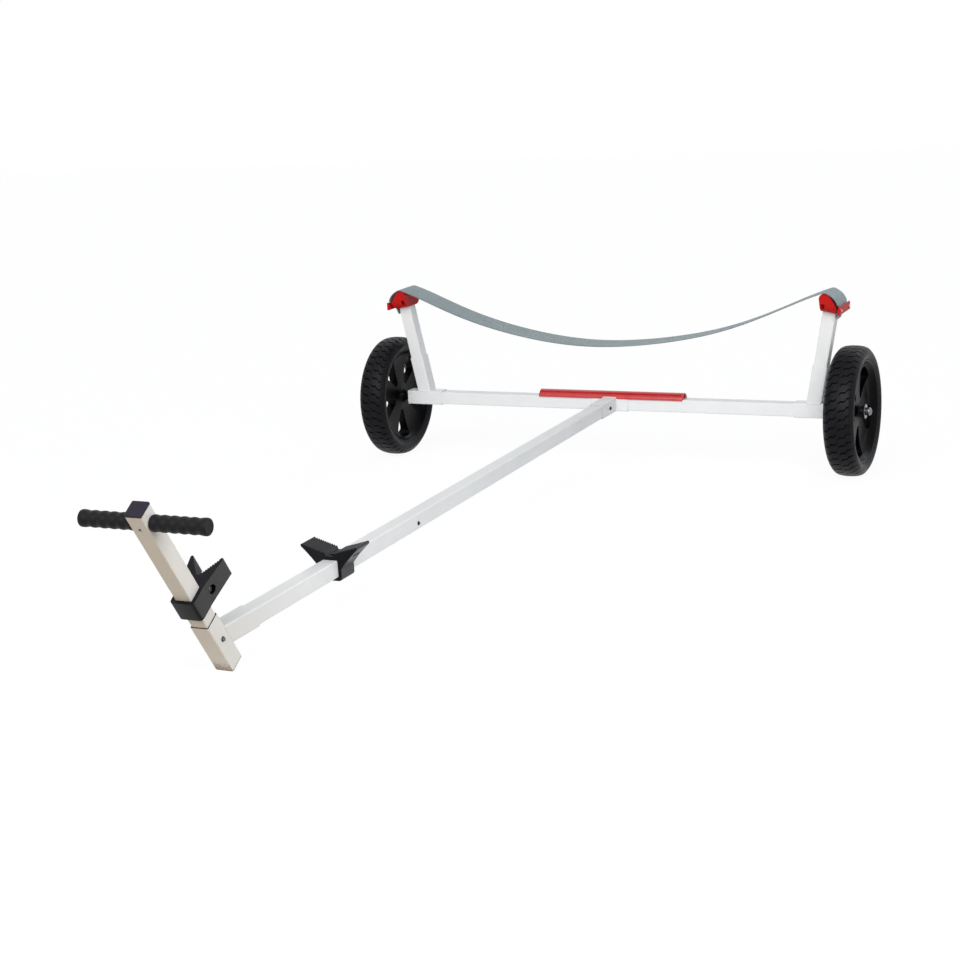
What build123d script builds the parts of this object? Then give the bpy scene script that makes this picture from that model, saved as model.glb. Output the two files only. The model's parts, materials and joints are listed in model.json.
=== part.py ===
"""Dinghy launching trolley: a T-shaped chassis of square aluminium tube on two wheels.

Units are millimetres.  +X is along the axle, -Y points to the hand grips, +Z is up and the
ground is z = 0.  The origin is on the ground, at the middle of the overall box.

The axle, drawbar and uprights are one flat chassis that slopes gently down to the front foot, so
each tube is drawn on a plane of the chassis, and only the wheels are square to the ground.
"""
import os
from math import atan2, cos, degrees, hypot, radians, sin

from build123d import *

os.makedirs("parts", exist_ok=True)

# ---- tube stock
TUBE = 40.0                 # square tube
TUBE_WALL = 2.0
TUBE_CORNER = 1.8           # the corners' small radius, drawn as a flat
SLEEVE = 45.0               # socket tube that the 40 mm tube slides into
SLEEVE_WALL = 2.0
SLEEVE_CORNER = 2.4
WELDED_CORNER = 2.3         # a hair tighter, so that two tubes welded in a T cross cleanly
TUBE_BORE = TUBE - 2 * TUBE_WALL
SLEEVE_BORE = SLEEVE - 2 * SLEEVE_WALL

# ---- chassis
WHEEL_RADIUS = 196.0
TRACK = 1541.0              # between the wheels' middle planes
AXLE_Y = 1164.4             # puts the origin at the middle of the overall length
CHASSIS_SLOPE = 2.87        # degrees, down towards the foot
DRAWBAR_LENGTH = 2284.0     # axle centre to the centre of the handle post
AXLE_TUBE_HALF = 700.0
BRACKET_INNER = 594.0       # socket bracket on the axle, from the middle of the trolley
BRACKET_OUTER = 719.0
CENTRE_SLEEVE_HALF = 60.0
REAR_SOCKET_END = 134.0     # forward of the axle centre
JOINER_AT = 1372.0          # where the drawbar's two tubes meet
JOINER_HALF = 90.0
FRONT_SOCKET_LENGTH = 142.0     # behind the handle post's centre
FRONT_TUBE_GAP = 55.0           # between the drawbar's end and the handle post's centre

# ---- handle post
POST_LEAN = 32.1            # degrees forward of square to the drawbar
POST_TOP = 391.0            # above the drawbar's centre line, along the post
POST_START = -45.0
POST_SOCKET_TOP = 55.0
FOOT_DROP = 83.9            # from the drawbar's centre line to the sole of the foot
BAR_HEIGHT = 356.0
BAR_RADIUS = 12.5
BAR_LENGTH = 294.0
GRIP_RADIUS = 18.0
GRIP_END = 151.0

# ---- chocks
CHOCK_HALF = 29.0           # half the width of the collar round the tube
BOW_CHOCK_AT = 91.0         # up the handle post
BOW_CHOCK_HEIGHT = 51.0
KEEL_CHOCK_AT = 1737.0      # along the drawbar
KEEL_CHOCK_LENGTH = 60.0

# ---- uprights and sling
UPRIGHT_X = 653.0
UPRIGHT_LEAN = 10.55        # degrees outward
UPRIGHT_START = 30.0
UPRIGHT_SOCKET_TOP = 139.0
UPRIGHT_TOP = 307.0
CAP_DEPTH = 108.0
CLAMP_LENGTH = 122.0
SLING_WIDTH = 104.0
SLING_THICKNESS = 3.0
SLING_LOW = 191.6           # the middle of the sling above the axle's centre line

# ---- wheels
BEAD_RADIUS = 154.0
BEAD_HALF = 39.0
STUB_RADIUS = 10.0
HUB_CLEARANCE = 0.05
HUB_HALF = 37.0
SPOKES = 5

slope = radians(CHASSIS_SLOPE)
forward = Vector(0, -cos(slope), -sin(slope))
chassis_up = Vector(0, -sin(slope), cos(slope))
axle_centre = Vector(0, AXLE_Y, WHEEL_RADIUS)


def chassis_point(side=0.0, ahead=0.0, above=0.0):
    """A point given from the axle's centre, along the chassis's own directions."""
    return axle_centre + Vector(side, 0, 0) + forward * ahead + chassis_up * above


def across(side, ahead=0.0, above=0.0):
    """Section plane of a part that runs along +X: its x is rearward and its y is up."""
    return Plane(origin=chassis_point(side, ahead, above), x_dir=-forward, z_dir=(1, 0, 0))


def along(ahead, side=0.0, above=0.0):
    """Section plane of a part that runs forward: its x is +X and its y is up."""
    return Plane(origin=chassis_point(side, ahead, above), x_dir=(1, 0, 0), z_dir=forward)


lean = radians(POST_LEAN)
post_up = chassis_up * cos(lean) + forward * sin(lean)
post_back = chassis_up * sin(lean) - forward * cos(lean)
post_foot = chassis_point(ahead=DRAWBAR_LENGTH)


def post_section(height):
    """Section plane of the handle post: its x is +X and its y is rearward."""
    return Plane(origin=post_foot + post_up * height, x_dir=(1, 0, 0), z_dir=post_up)


def post_side(side):
    """Side view of the handle post: its x is rearward and its y is up the post."""
    return Plane(origin=post_foot + Vector(side, 0, 0), x_dir=post_back, z_dir=(-1, 0, 0))


upright_lean = radians(UPRIGHT_LEAN)
upright_up = chassis_up * cos(upright_lean) + Vector(1, 0, 0) * sin(upright_lean)
upright_out = Vector(1, 0, 0) * cos(upright_lean) - chassis_up * sin(upright_lean)


def upright_section(height):
    """Section plane of the right upright: its x is outward and its y is rearward."""
    return Plane(origin=chassis_point(UPRIGHT_X) + upright_up * height, x_dir=upright_out,
                 z_dir=upright_up)


# side view of an upright's head: x is outward, y is up along the tube, z is forward
upright_face = Plane(origin=chassis_point(UPRIGHT_X) + upright_up * UPRIGHT_TOP,
                     x_dir=upright_out, z_dir=forward)


def square(size, corner):
    """Draw a square whose corners are cut by a small flat."""
    edge, inner = size / 2, size / 2 - corner
    Polygon((edge, -inner), (edge, inner), (inner, edge), (-inner, edge), (-edge, inner), (-edge, -inner),
            (-inner, -edge), (inner, -edge), align=None)


def tube_section():
    """Draw the square tube's section."""
    square(TUBE, TUBE_CORNER)
    Rectangle(TUBE_BORE, TUBE_BORE, mode=Mode.SUBTRACT)


def save(name, solid):
    """Label a finished piece and write its file."""
    solid.label = name
    export_step(solid, f"parts/{name}.step")


def save_pair(name, right):
    """Save the right-hand piece and its mirror image."""
    save(f"{name}_right", right)
    with BuildPart() as left:
        mirror(right, about=Plane.YZ)
    save(f"{name}_left", left.part)


def save_both(name, right):
    """Save the right-hand piece and its mirror image together, as two solids of one small node."""
    with BuildPart() as both:
        add(right)
        mirror(right, about=Plane.YZ)
    save(name, both.part)


# ---- axle and drawbar
with BuildPart() as axle_tube:
    with BuildSketch(across(-AXLE_TUBE_HALF)):
        tube_section()
    extrude(amount=2 * AXLE_TUBE_HALF)
save("axle_tube", axle_tube.part)

# a sleeve on the axle with the drawbar's socket welded to its front
with BuildPart() as centre_tee:
    with BuildSketch(across(-CENTRE_SLEEVE_HALF)):
        square(SLEEVE, SLEEVE_CORNER)
    extrude(amount=2 * CENTRE_SLEEVE_HALF)
    with BuildSketch(along(0)):
        square(SLEEVE, WELDED_CORNER)
    extrude(amount=REAR_SOCKET_END)
    with BuildSketch(across(-CENTRE_SLEEVE_HALF)):
        Rectangle(SLEEVE_BORE, SLEEVE_BORE)
    extrude(amount=2 * CENTRE_SLEEVE_HALF, mode=Mode.SUBTRACT)
    with BuildSketch(along(SLEEVE / 2)):
        Rectangle(SLEEVE_BORE, SLEEVE_BORE)
    extrude(amount=REAR_SOCKET_END, mode=Mode.SUBTRACT)
save("centre_tee", centre_tee.part)

with BuildPart() as rear_drawbar_tube:
    with BuildSketch(along(SLEEVE / 2)):
        tube_section()
    extrude(amount=JOINER_AT - SLEEVE / 2)
save("rear_drawbar_tube", rear_drawbar_tube.part)

with BuildPart() as front_drawbar_tube:
    with BuildSketch(along(JOINER_AT)):
        tube_section()
    extrude(amount=DRAWBAR_LENGTH - FRONT_TUBE_GAP - JOINER_AT)
save("front_drawbar_tube", front_drawbar_tube.part)

# the smaller tube inside, which lets the drawbar come apart in the middle
with BuildPart() as drawbar_joiner:
    with BuildSketch(along(JOINER_AT - JOINER_HALF)):
        Rectangle(TUBE_BORE, TUBE_BORE)
        Rectangle(TUBE_BORE - 2 * TUBE_WALL, TUBE_BORE - 2 * TUBE_WALL, mode=Mode.SUBTRACT)
    extrude(amount=2 * JOINER_HALF)
save("drawbar_joiner", drawbar_joiner.part)

# ---- front elbow: the drawbar's socket welded to the post's socket, which is also the foot
with BuildPart() as front_elbow:
    with BuildSketch(post_section(-FOOT_DROP)):
        square(SLEEVE, SLEEVE_CORNER)
    extrude(amount=FOOT_DROP + POST_SOCKET_TOP)
    with BuildSketch(along(DRAWBAR_LENGTH - FRONT_SOCKET_LENGTH)):
        square(SLEEVE, WELDED_CORNER)
    extrude(amount=FRONT_SOCKET_LENGTH)
    with BuildSketch(along(DRAWBAR_LENGTH - FRONT_SOCKET_LENGTH)):
        Rectangle(SLEEVE_BORE, SLEEVE_BORE)
    extrude(amount=FRONT_SOCKET_LENGTH, mode=Mode.SUBTRACT)
    with BuildSketch(post_section(-FOOT_DROP)):
        Rectangle(SLEEVE_BORE, SLEEVE_BORE)
    extrude(amount=FOOT_DROP + POST_SOCKET_TOP, mode=Mode.SUBTRACT)
save("front_elbow", front_elbow.part)

PLUG_DEPTH = 25.0

with BuildPart() as foot_plug:
    with BuildSketch(post_section(-FOOT_DROP)):
        Rectangle(SLEEVE_BORE, SLEEVE_BORE)
    extrude(amount=PLUG_DEPTH)
save("foot_plug", foot_plug.part)

bar_plane = Plane(origin=post_section(BAR_HEIGHT).origin, x_dir=post_up, z_dir=(1, 0, 0))

with BuildPart() as handle_post:
    with BuildSketch(post_section(POST_START)):
        tube_section()
    extrude(amount=POST_TOP - POST_START)
    with BuildSketch(bar_plane):
        Circle(BAR_RADIUS)
    extrude(amount=TUBE, both=True, mode=Mode.SUBTRACT)
save("handle_post", handle_post.part)

CAP_LIP = 5.0
CAP_OVERHANG = 0.5
CAP_SPIGOT = 18.0

with BuildPart() as post_cap:
    with BuildSketch(post_section(POST_TOP)):
        square(TUBE + 2 * CAP_OVERHANG, TUBE_CORNER)
    extrude(amount=CAP_LIP)
    with BuildSketch(post_section(POST_TOP)):
        Rectangle(TUBE_BORE, TUBE_BORE)
    extrude(amount=-CAP_SPIGOT)
save("post_cap", post_cap.part)

# ---- hand grips: one bar through the post, with a rubber grip on each end
with BuildPart() as handle_bar:
    with BuildSketch(bar_plane):
        Circle(BAR_RADIUS)
    extrude(amount=BAR_LENGTH / 2, both=True)
save("handle_bar", handle_bar.part)

GRIP_CHAMFER = 2.0

with BuildPart() as grip:
    with BuildSketch(bar_plane.offset(TUBE / 2)):
        Circle(GRIP_RADIUS)
    extrude(amount=GRIP_END - TUBE / 2)
    chamfer(grip.edges().sort_by(Axis.X)[-1], length=GRIP_CHAMFER)
    with BuildSketch(bar_plane.offset(TUBE / 2)):
        Circle(BAR_RADIUS)
    extrude(amount=BAR_LENGTH / 2 - TUBE / 2, mode=Mode.SUBTRACT)
save_both("grips", grip.part)

# ---- chocks: two V-shaped mouldings with toothed jaws, each wrapped round its tube
TOOTH_PITCH = 6.0
TOOTH_SIDE = 3.4            # side of the square notch that is cut on its corner
COLLAR_CORNER = 8.0
COUNTERBORE_RADIUS = 10.5
COUNTERBORE_DEPTH = 6.0
BOLT_BACK = 35.5            # behind the post's centre line


def cut_teeth(valley, tip, count):
    """Notch both jaws of an open sketch, from the valley towards the tips."""
    run, rise = tip[0] - valley[0], tip[1] - valley[1]
    length, tilt = hypot(run, rise), degrees(atan2(rise, run))
    first = (length - TOOTH_PITCH * (count - 1)) / 2
    for n in range(count):
        share = (first + TOOTH_PITCH * n) / length
        side, height = valley[0] + run * share, valley[1] + rise * share
        with Locations((side, height), (-side, height)):
            Rectangle(TOOTH_SIDE, TOOTH_SIDE, rotation=tilt + 45, mode=Mode.SUBTRACT)


BOW_VALLEY = (3.0, 50.0)
BOW_TIP = (34.0, 97.0)
BOW_TIP_WIDTH = 6.5
BOW_TEETH = 8

with BuildPart() as bow_chock:
    with BuildSketch(post_section(BOW_CHOCK_AT)):
        with BuildLine():
            Polyline((0, -CHOCK_HALF), (CHOCK_HALF - COLLAR_CORNER, -CHOCK_HALF))
            TangentArc((CHOCK_HALF - COLLAR_CORNER, -CHOCK_HALF),
                       (CHOCK_HALF, COLLAR_CORNER - CHOCK_HALF), tangent=(1, 0))
            Polyline((CHOCK_HALF, COLLAR_CORNER - CHOCK_HALF), (CHOCK_HALF + 0.5, TUBE / 2),
                     (BOW_TIP[0] + BOW_TIP_WIDTH, BOW_TIP[1] - 2))
            ThreePointArc((BOW_TIP[0] + BOW_TIP_WIDTH, BOW_TIP[1] - 2),
                          (BOW_TIP[0] + BOW_TIP_WIDTH / 2, BOW_TIP[1] + 1.5), BOW_TIP)
            Polyline(BOW_TIP, BOW_VALLEY, (0, BOW_VALLEY[1]))
            mirror(about=Plane.YZ)
        make_face()
        Rectangle(TUBE, TUBE, mode=Mode.SUBTRACT)
        cut_teeth(BOW_VALLEY, BOW_TIP, BOW_TEETH)
    extrude(amount=BOW_CHOCK_HEIGHT)
    # the jaws' lower edge is hollowed out behind the tube
    with BuildSketch(post_side(0)):
        with BuildLine():
            low = BOW_CHOCK_AT
            ThreePointArc((TUBE / 2 + 2, low), (60, low + 8), (BOW_TIP[1] + 2, low + 4))
            Polyline((BOW_TIP[1] + 2, low + 4), (BOW_TIP[1] + 2, low - 5), (TUBE / 2 + 2, low - 5),
                     (TUBE / 2 + 2, low))
        make_face()
    extrude(amount=2 * CHOCK_HALF, both=True, mode=Mode.SUBTRACT)
    # a clamping bolt sits in a counterbore on each side, between the tube and the V
    bolt_height = BOW_CHOCK_AT + BOW_CHOCK_HEIGHT / 2
    for side in (1, -1):
        with BuildSketch(post_side(side * (CHOCK_HALF + 3))):
            with Locations((BOLT_BACK, bolt_height)):
                Circle(COUNTERBORE_RADIUS)
        extrude(amount=side * (COUNTERBORE_DEPTH + 3), mode=Mode.SUBTRACT)
save("bow_chock", bow_chock.part)

KEEL_VALLEY = (12.0, 37.6)
KEEL_FLOOR = 29.5
KEEL_TIP = (73.0, 56.0)
KEEL_TIP_WIDTH = 7.0
KEEL_TEETH = 8
KEEL_WING_MIDDLE = (47.0, 21.5)    # a point of the wing's hollow underside
SLOT_LENGTH = 30.0
SLOT_WIDTH = 7.0
SLOT_DEPTH = 6.0
SLOT_TILT = 40.0            # degrees, square to the wing's underside
SLOT_AT = (55.0, 28.0)
wing_end = (KEEL_TIP[0] + 3, KEEL_TIP[1] - KEEL_TIP_WIDTH)

with BuildPart() as keel_chock:
    with BuildSketch(along(KEEL_CHOCK_AT)):
        with BuildLine():
            Polyline((0, -CHOCK_HALF), (CHOCK_HALF - COLLAR_CORNER, -CHOCK_HALF))
            TangentArc((CHOCK_HALF - COLLAR_CORNER, -CHOCK_HALF),
                       (CHOCK_HALF, COLLAR_CORNER - CHOCK_HALF), tangent=(1, 0))
            Line((CHOCK_HALF, COLLAR_CORNER - CHOCK_HALF), (CHOCK_HALF, 0))
            ThreePointArc((CHOCK_HALF, 0), KEEL_WING_MIDDLE, wing_end)
            ThreePointArc(wing_end, (KEEL_TIP[0] + 4.5, KEEL_TIP[1] - 2.5), KEEL_TIP)
            Polyline(KEEL_TIP, KEEL_VALLEY, (KEEL_VALLEY[0] - 3, KEEL_FLOOR), (0, KEEL_FLOOR))
            mirror(about=Plane.YZ)
        make_face()
        Rectangle(TUBE, TUBE, mode=Mode.SUBTRACT)
        cut_teeth(KEEL_VALLEY, KEEL_TIP, KEEL_TEETH)
    extrude(amount=KEEL_CHOCK_LENGTH)
    # a cored slot under each wing
    middle = KEEL_CHOCK_AT + KEEL_CHOCK_LENGTH / 2
    for side in (1, -1):
        slot_axis = Vector(side * sin(radians(SLOT_TILT)), 0, 0) - chassis_up * cos(radians(SLOT_TILT))
        with BuildSketch(Plane(origin=chassis_point(side * SLOT_AT[0], middle, SLOT_AT[1]), x_dir=forward,
                               z_dir=slot_axis)):
            Rectangle(SLOT_WIDTH, SLOT_LENGTH)
        extrude(amount=SLOT_DEPTH, both=True, mode=Mode.SUBTRACT)
save("keel_chock", keel_chock.part)

# ---- pad on the axle: an open arch on two legs, which clears the centre sleeve
PAD_HALF = 250.0
PAD_CENTRE_HEIGHT = 14.0
PAD_RADIUS = 26.3
PAD_WALL = 3.0
PAD_LIP_HEIGHT = 18.5
PAD_LEG_AT = 9.0
PAD_CLEARANCE = 0.6

with BuildPart() as axle_pad:
    with BuildSketch(across(-PAD_HALF)):
        with Locations((0, PAD_CENTRE_HEIGHT)):
            Circle(PAD_RADIUS)
            Circle(PAD_RADIUS - PAD_WALL, mode=Mode.SUBTRACT)
        with Locations((0, PAD_LIP_HEIGHT)):
            Rectangle(2 * PAD_RADIUS, 2 * PAD_RADIUS, align=(Align.CENTER, Align.MAX), mode=Mode.SUBTRACT)
        with Locations((-PAD_LEG_AT, TUBE / 2), (PAD_LEG_AT, TUBE / 2)):
            Rectangle(PAD_WALL, PAD_RADIUS - 10, align=(Align.CENTER, Align.MIN))
    extrude(amount=2 * PAD_HALF)
    with BuildSketch(across(-CENTRE_SLEEVE_HALF)):
        Rectangle(2 * PAD_LEG_AT + 2 * PAD_WALL, SLEEVE + PAD_CLEARANCE)
    extrude(amount=2 * CENTRE_SLEEVE_HALF, mode=Mode.SUBTRACT)
    with BuildSketch(across(-SLEEVE / 2 - 1)):
        Rectangle(3 * PAD_RADIUS, SLEEVE + PAD_CLEARANCE)
    extrude(amount=SLEEVE + 2, mode=Mode.SUBTRACT)
save("axle_pad", axle_pad.part)

# ---- axle brackets and uprights
with BuildPart() as axle_bracket:
    with BuildSketch(across(BRACKET_INNER)):
        square(SLEEVE, SLEEVE_CORNER)
    extrude(amount=BRACKET_OUTER - BRACKET_INNER)
    with BuildSketch(upright_section(0)):
        square(SLEEVE, WELDED_CORNER)
    extrude(amount=UPRIGHT_SOCKET_TOP)
    with BuildSketch(across(BRACKET_INNER)):
        Rectangle(SLEEVE_BORE, SLEEVE_BORE)
    extrude(amount=BRACKET_OUTER - BRACKET_INNER, mode=Mode.SUBTRACT)
    with BuildSketch(upright_section(UPRIGHT_START)):
        Rectangle(SLEEVE_BORE, SLEEVE_BORE)
    extrude(amount=UPRIGHT_SOCKET_TOP, mode=Mode.SUBTRACT)
save_pair("axle_bracket", axle_bracket.part)

with BuildPart() as upright:
    with BuildSketch(upright_section(UPRIGHT_START)):
        tube_section()
    extrude(amount=UPRIGHT_TOP - UPRIGHT_START)
save_pair("upright", upright.part)

# ---- sling caps: a rolled saddle that plugs into the upright, and a bar that clamps the webbing
ROLL = (-12.5, 40.5)        # centre of the roll, outward and up from the tube's top
ROLL_RADIUS = 17.5
SHOULDER = 50.0             # degrees on the roll where the outer slope starts
CAP_FOOT_HALF = 22.0        # the cap's underside on the tube
SLOPE_MIDDLE = (11.5, 40.5)
SLOPE_END = (25.5, 22.0)
FLARE_FOOT_HALF = 27.0      # the cap is short at the tube and flares to its full depth
FLARE_HEIGHT = 36.0
POCKET_AT = (-17.0, 22.0)
POCKET_SIDE = 8.0
POCKET_DEPTH = 20.0


def roll_point(angle):
    """A point on the cap's roll, at an angle in degrees from the outward direction."""
    return (ROLL[0] + ROLL_RADIUS * cos(radians(angle)), ROLL[1] + ROLL_RADIUS * sin(radians(angle)))


with BuildPart() as sling_cap:
    with BuildSketch(upright_face.offset(-CAP_DEPTH / 2)):
        with BuildLine():
            Polyline(SLOPE_END, (CAP_FOOT_HALF, 0), (-CAP_FOOT_HALF, 0), roll_point(210))
            ThreePointArc(roll_point(210), roll_point(170), roll_point(130))
            ThreePointArc(roll_point(130), roll_point(90), roll_point(SHOULDER))
            ThreePointArc(roll_point(SHOULDER), SLOPE_MIDDLE, SLOPE_END)
        make_face()
    extrude(amount=CAP_DEPTH)
    # seen from outside, both lower corners are swept in towards the tube
    flare_plane = Plane(origin=upright_face.origin - upright_out * CAP_DEPTH, x_dir=-forward,
                        z_dir=upright_out)
    with BuildSketch(flare_plane):
        with BuildLine():
            half = CAP_DEPTH / 2
            foot = FLARE_FOOT_HALF
            bulge = (foot + (half - foot) * sin(radians(45)), FLARE_HEIGHT * (1 - cos(radians(45))))
            ThreePointArc((foot, 0), bulge, (half, FLARE_HEIGHT))
            Line((half, FLARE_HEIGHT), (half, 2 * FLARE_HEIGHT))
            mirror(about=Plane.YZ)
            Line((half, 2 * FLARE_HEIGHT), (-half, 2 * FLARE_HEIGHT))
            Line((-foot, 0), (foot, 0))
        make_face()
    extrude(amount=2 * CAP_DEPTH, mode=Mode.INTERSECT)
    with BuildSketch(upright_section(UPRIGHT_TOP)):
        Rectangle(TUBE_BORE, TUBE_BORE)
    extrude(amount=-PLUG_DEPTH)
    # pockets cored into both ends
    for end in (1, -1):
        with BuildSketch(upright_face.offset(end * CAP_DEPTH / 2)):
            with Locations(POCKET_AT):
                Rectangle(POCKET_SIDE, POCKET_SIDE)
        extrude(amount=-end * POCKET_DEPTH, mode=Mode.SUBTRACT)
save_pair("sling_cap", sling_cap.part)

# the bar hangs upright, so in the leaning plane of the cap it is a wedge
with BuildPart() as sling_clamp:
    with BuildSketch(upright_face.offset(-CLAMP_LENGTH / 2)):
        Polygon((33.6, 27.3), (37.4, 27.9), (42.2, 3.8), (33.4, 3.4), (31.8, 5.0), align=None)
    extrude(amount=CLAMP_LENGTH)
save_pair("sling_clamp", sling_clamp.part)

# ---- sling: one band of webbing over both caps, with its tails under the clamps
gap = SLING_THICKNESS / 2 + 0.1
ARRIVAL = 126.0             # degrees on the roll where the hanging part touches it
LEAVING = 62.0              # and where the webbing leaves it
FALL_MIDDLE = (15.5, 47.5)
FALL_END = (31.4, 26.5)
CLAMPED = (29.6, 3.0)
TAIL_END = (33.2, -18.0)


def head_point(out, up):
    """A point of the right upright's head, as (side, above) from the axle's centre."""
    side = UPRIGHT_X + (UPRIGHT_TOP + up) * sin(upright_lean) + out * cos(upright_lean)
    return side, (UPRIGHT_TOP + up) * cos(upright_lean) - out * sin(upright_lean)


def on_roll(angle, lift=gap):
    """A point of the webbing's middle surface where it lies on the cap's roll."""
    reach = ROLL_RADIUS + lift
    return head_point(ROLL[0] + reach * cos(radians(angle)), ROLL[1] + reach * sin(radians(angle)))


with BuildPart() as sling:
    with BuildSketch(along(-SLING_WIDTH / 2)):
        with BuildLine():
            side, above = on_roll(ARRIVAL)
            ThreePointArc((-side, above), (0, SLING_LOW), (side, above))
            over_roll = ThreePointArc(on_roll(ARRIVAL), on_roll(90), on_roll(LEAVING))
            down_slope = ThreePointArc(over_roll @ 1, head_point(*FALL_MIDDLE), head_point(*FALL_END))
            tail = Polyline(down_slope @ 1, head_point(*CLAMPED), head_point(*TAIL_END))
            mirror([over_roll, down_slope, tail], about=Plane.YZ)
        trace(line_width=SLING_THICKNESS)
    extrude(amount=SLING_WIDTH)
save("sling", sling.part)

# ---- stub axles and what holds each wheel on
STUB_ROOT = 620.0
STUB_TIP = 828.0
STUB_HEAD_RADIUS = 12.5
STUB_HEAD_LENGTH = 17.0
SPACER_RADIUS = 14.0
SPACER_GAP = 0.4
hub_inner = TRACK / 2 - HUB_HALF

# a moulded plug closes the tube and the bracket, and its boss spaces the wheel off them
with BuildPart() as axle_plug:
    with BuildSketch(across(STUB_ROOT)):
        Rectangle(TUBE_BORE, TUBE_BORE)
    extrude(amount=AXLE_TUBE_HALF - STUB_ROOT)
    with BuildSketch(across(AXLE_TUBE_HALF)):
        Rectangle(SLEEVE_BORE, SLEEVE_BORE)
    extrude(amount=BRACKET_OUTER - AXLE_TUBE_HALF)
    with BuildSketch(across(BRACKET_OUTER)):
        Circle(SPACER_RADIUS)
    extrude(amount=hub_inner - SPACER_GAP - BRACKET_OUTER)
    with BuildSketch(across(STUB_ROOT)):
        Circle(STUB_RADIUS)
    extrude(amount=TRACK / 2 - STUB_ROOT, mode=Mode.SUBTRACT)
save_both("axle_plugs", axle_plug.part)

with BuildPart() as stub_axle:
    with BuildSketch(across(STUB_ROOT)):
        Circle(STUB_RADIUS)
    extrude(amount=STUB_TIP - STUB_ROOT)
    with BuildSketch(across(STUB_TIP - STUB_HEAD_LENGTH)):
        Circle(STUB_HEAD_RADIUS)
    extrude(amount=STUB_HEAD_LENGTH)
save_both("stub_axles", stub_axle.part)

# ---- wheels: a foam tyre on a moulded rim with five scooped spokes
# section plane: x is outward along the axle and y is the radius, here straight up
wheel_section = Plane(origin=(TRACK / 2, AXLE_Y, WHEEL_RADIUS), x_dir=(1, 0, 0), z_dir=(0, -1, 0))
wheel_face = Plane(origin=(TRACK / 2, AXLE_Y, WHEEL_RADIUS), x_dir=(0, 1, 0), z_dir=(1, 0, 0))
wheel_axis = Axis((TRACK / 2, AXLE_Y, WHEEL_RADIUS), (1, 0, 0))

TYRE_HALF = 46.0
CROWN_HALF = 27.5
SHOULDER_BREAK = (38.0, 188.3)

with BuildPart() as tyre:
    with BuildSketch(wheel_section):
        with BuildLine():
            right_side = Polyline((CROWN_HALF, WHEEL_RADIUS), SHOULDER_BREAK, (TYRE_HALF, 178.2),
                                  (BEAD_HALF, BEAD_RADIUS))
            mirror(right_side, about=Plane.YZ)
            Line((-CROWN_HALF, WHEEL_RADIUS), (CROWN_HALF, WHEEL_RADIUS))
            Line((-BEAD_HALF, BEAD_RADIUS), (BEAD_HALF, BEAD_RADIUS))
        make_face()
    revolve(axis=wheel_axis)
save_pair("tyre", tyre.part)

HUB_RADIUS = 16.0
WEB_HALF = 15.0             # half the web's thickness, through the spokes
FLARE_START = 138.0
OPENING_INNER = 47.0
OPENING_OUTER = 145.0
OPENING_HALF_ANGLE = 16.0
OPENING_CORNER = 12.0

with BuildPart() as rim:
    with BuildSketch(wheel_section):
        with BuildLine():
            hub_bore = STUB_RADIUS + HUB_CLEARANCE
            right_side = Polyline((HUB_HALF, hub_bore), (HUB_HALF, HUB_RADIUS), (WEB_HALF, HUB_RADIUS),
                                  (WEB_HALF, FLARE_START), (BEAD_HALF, BEAD_RADIUS))
            mirror(right_side, about=Plane.YZ)
            Line((-HUB_HALF, hub_bore), (HUB_HALF, hub_bore))
            Line((-BEAD_HALF, BEAD_RADIUS), (BEAD_HALF, BEAD_RADIUS))
        make_face()
    revolve(axis=wheel_axis)
    # five openings between the spokes, one of them straight down
    with BuildSketch(wheel_face):
        with PolarLocations(0, SPOKES, start_angle=-90):
            with BuildSketch(mode=Mode.PRIVATE) as opening:
                half_outer = OPENING_OUTER * sin(radians(OPENING_HALF_ANGLE))
                half_inner = OPENING_INNER * sin(radians(OPENING_HALF_ANGLE)) * 0.7
                with BuildLine():
                    Polyline((OPENING_INNER, half_inner), (OPENING_INNER, -half_inner),
                             (OPENING_OUTER - 5, -half_outer))
                    ThreePointArc((OPENING_OUTER - 5, -half_outer), (OPENING_OUTER, 0),
                                  (OPENING_OUTER - 5, half_outer))
                    Line((OPENING_OUTER - 5, half_outer), (OPENING_INNER, half_inner))
                make_face()
                fillet(opening.vertices().group_by(Axis.X)[-1], OPENING_CORNER)
            add(opening.sketch)
    extrude(amount=HUB_HALF, both=True, mode=Mode.SUBTRACT)
save_pair("rim", rim.part)
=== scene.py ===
import json
import random
from math import atan2, cos, degrees, hypot, pi, radians, sin, tan

import bmesh
import bpy
from mathutils import Matrix, Vector


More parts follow.
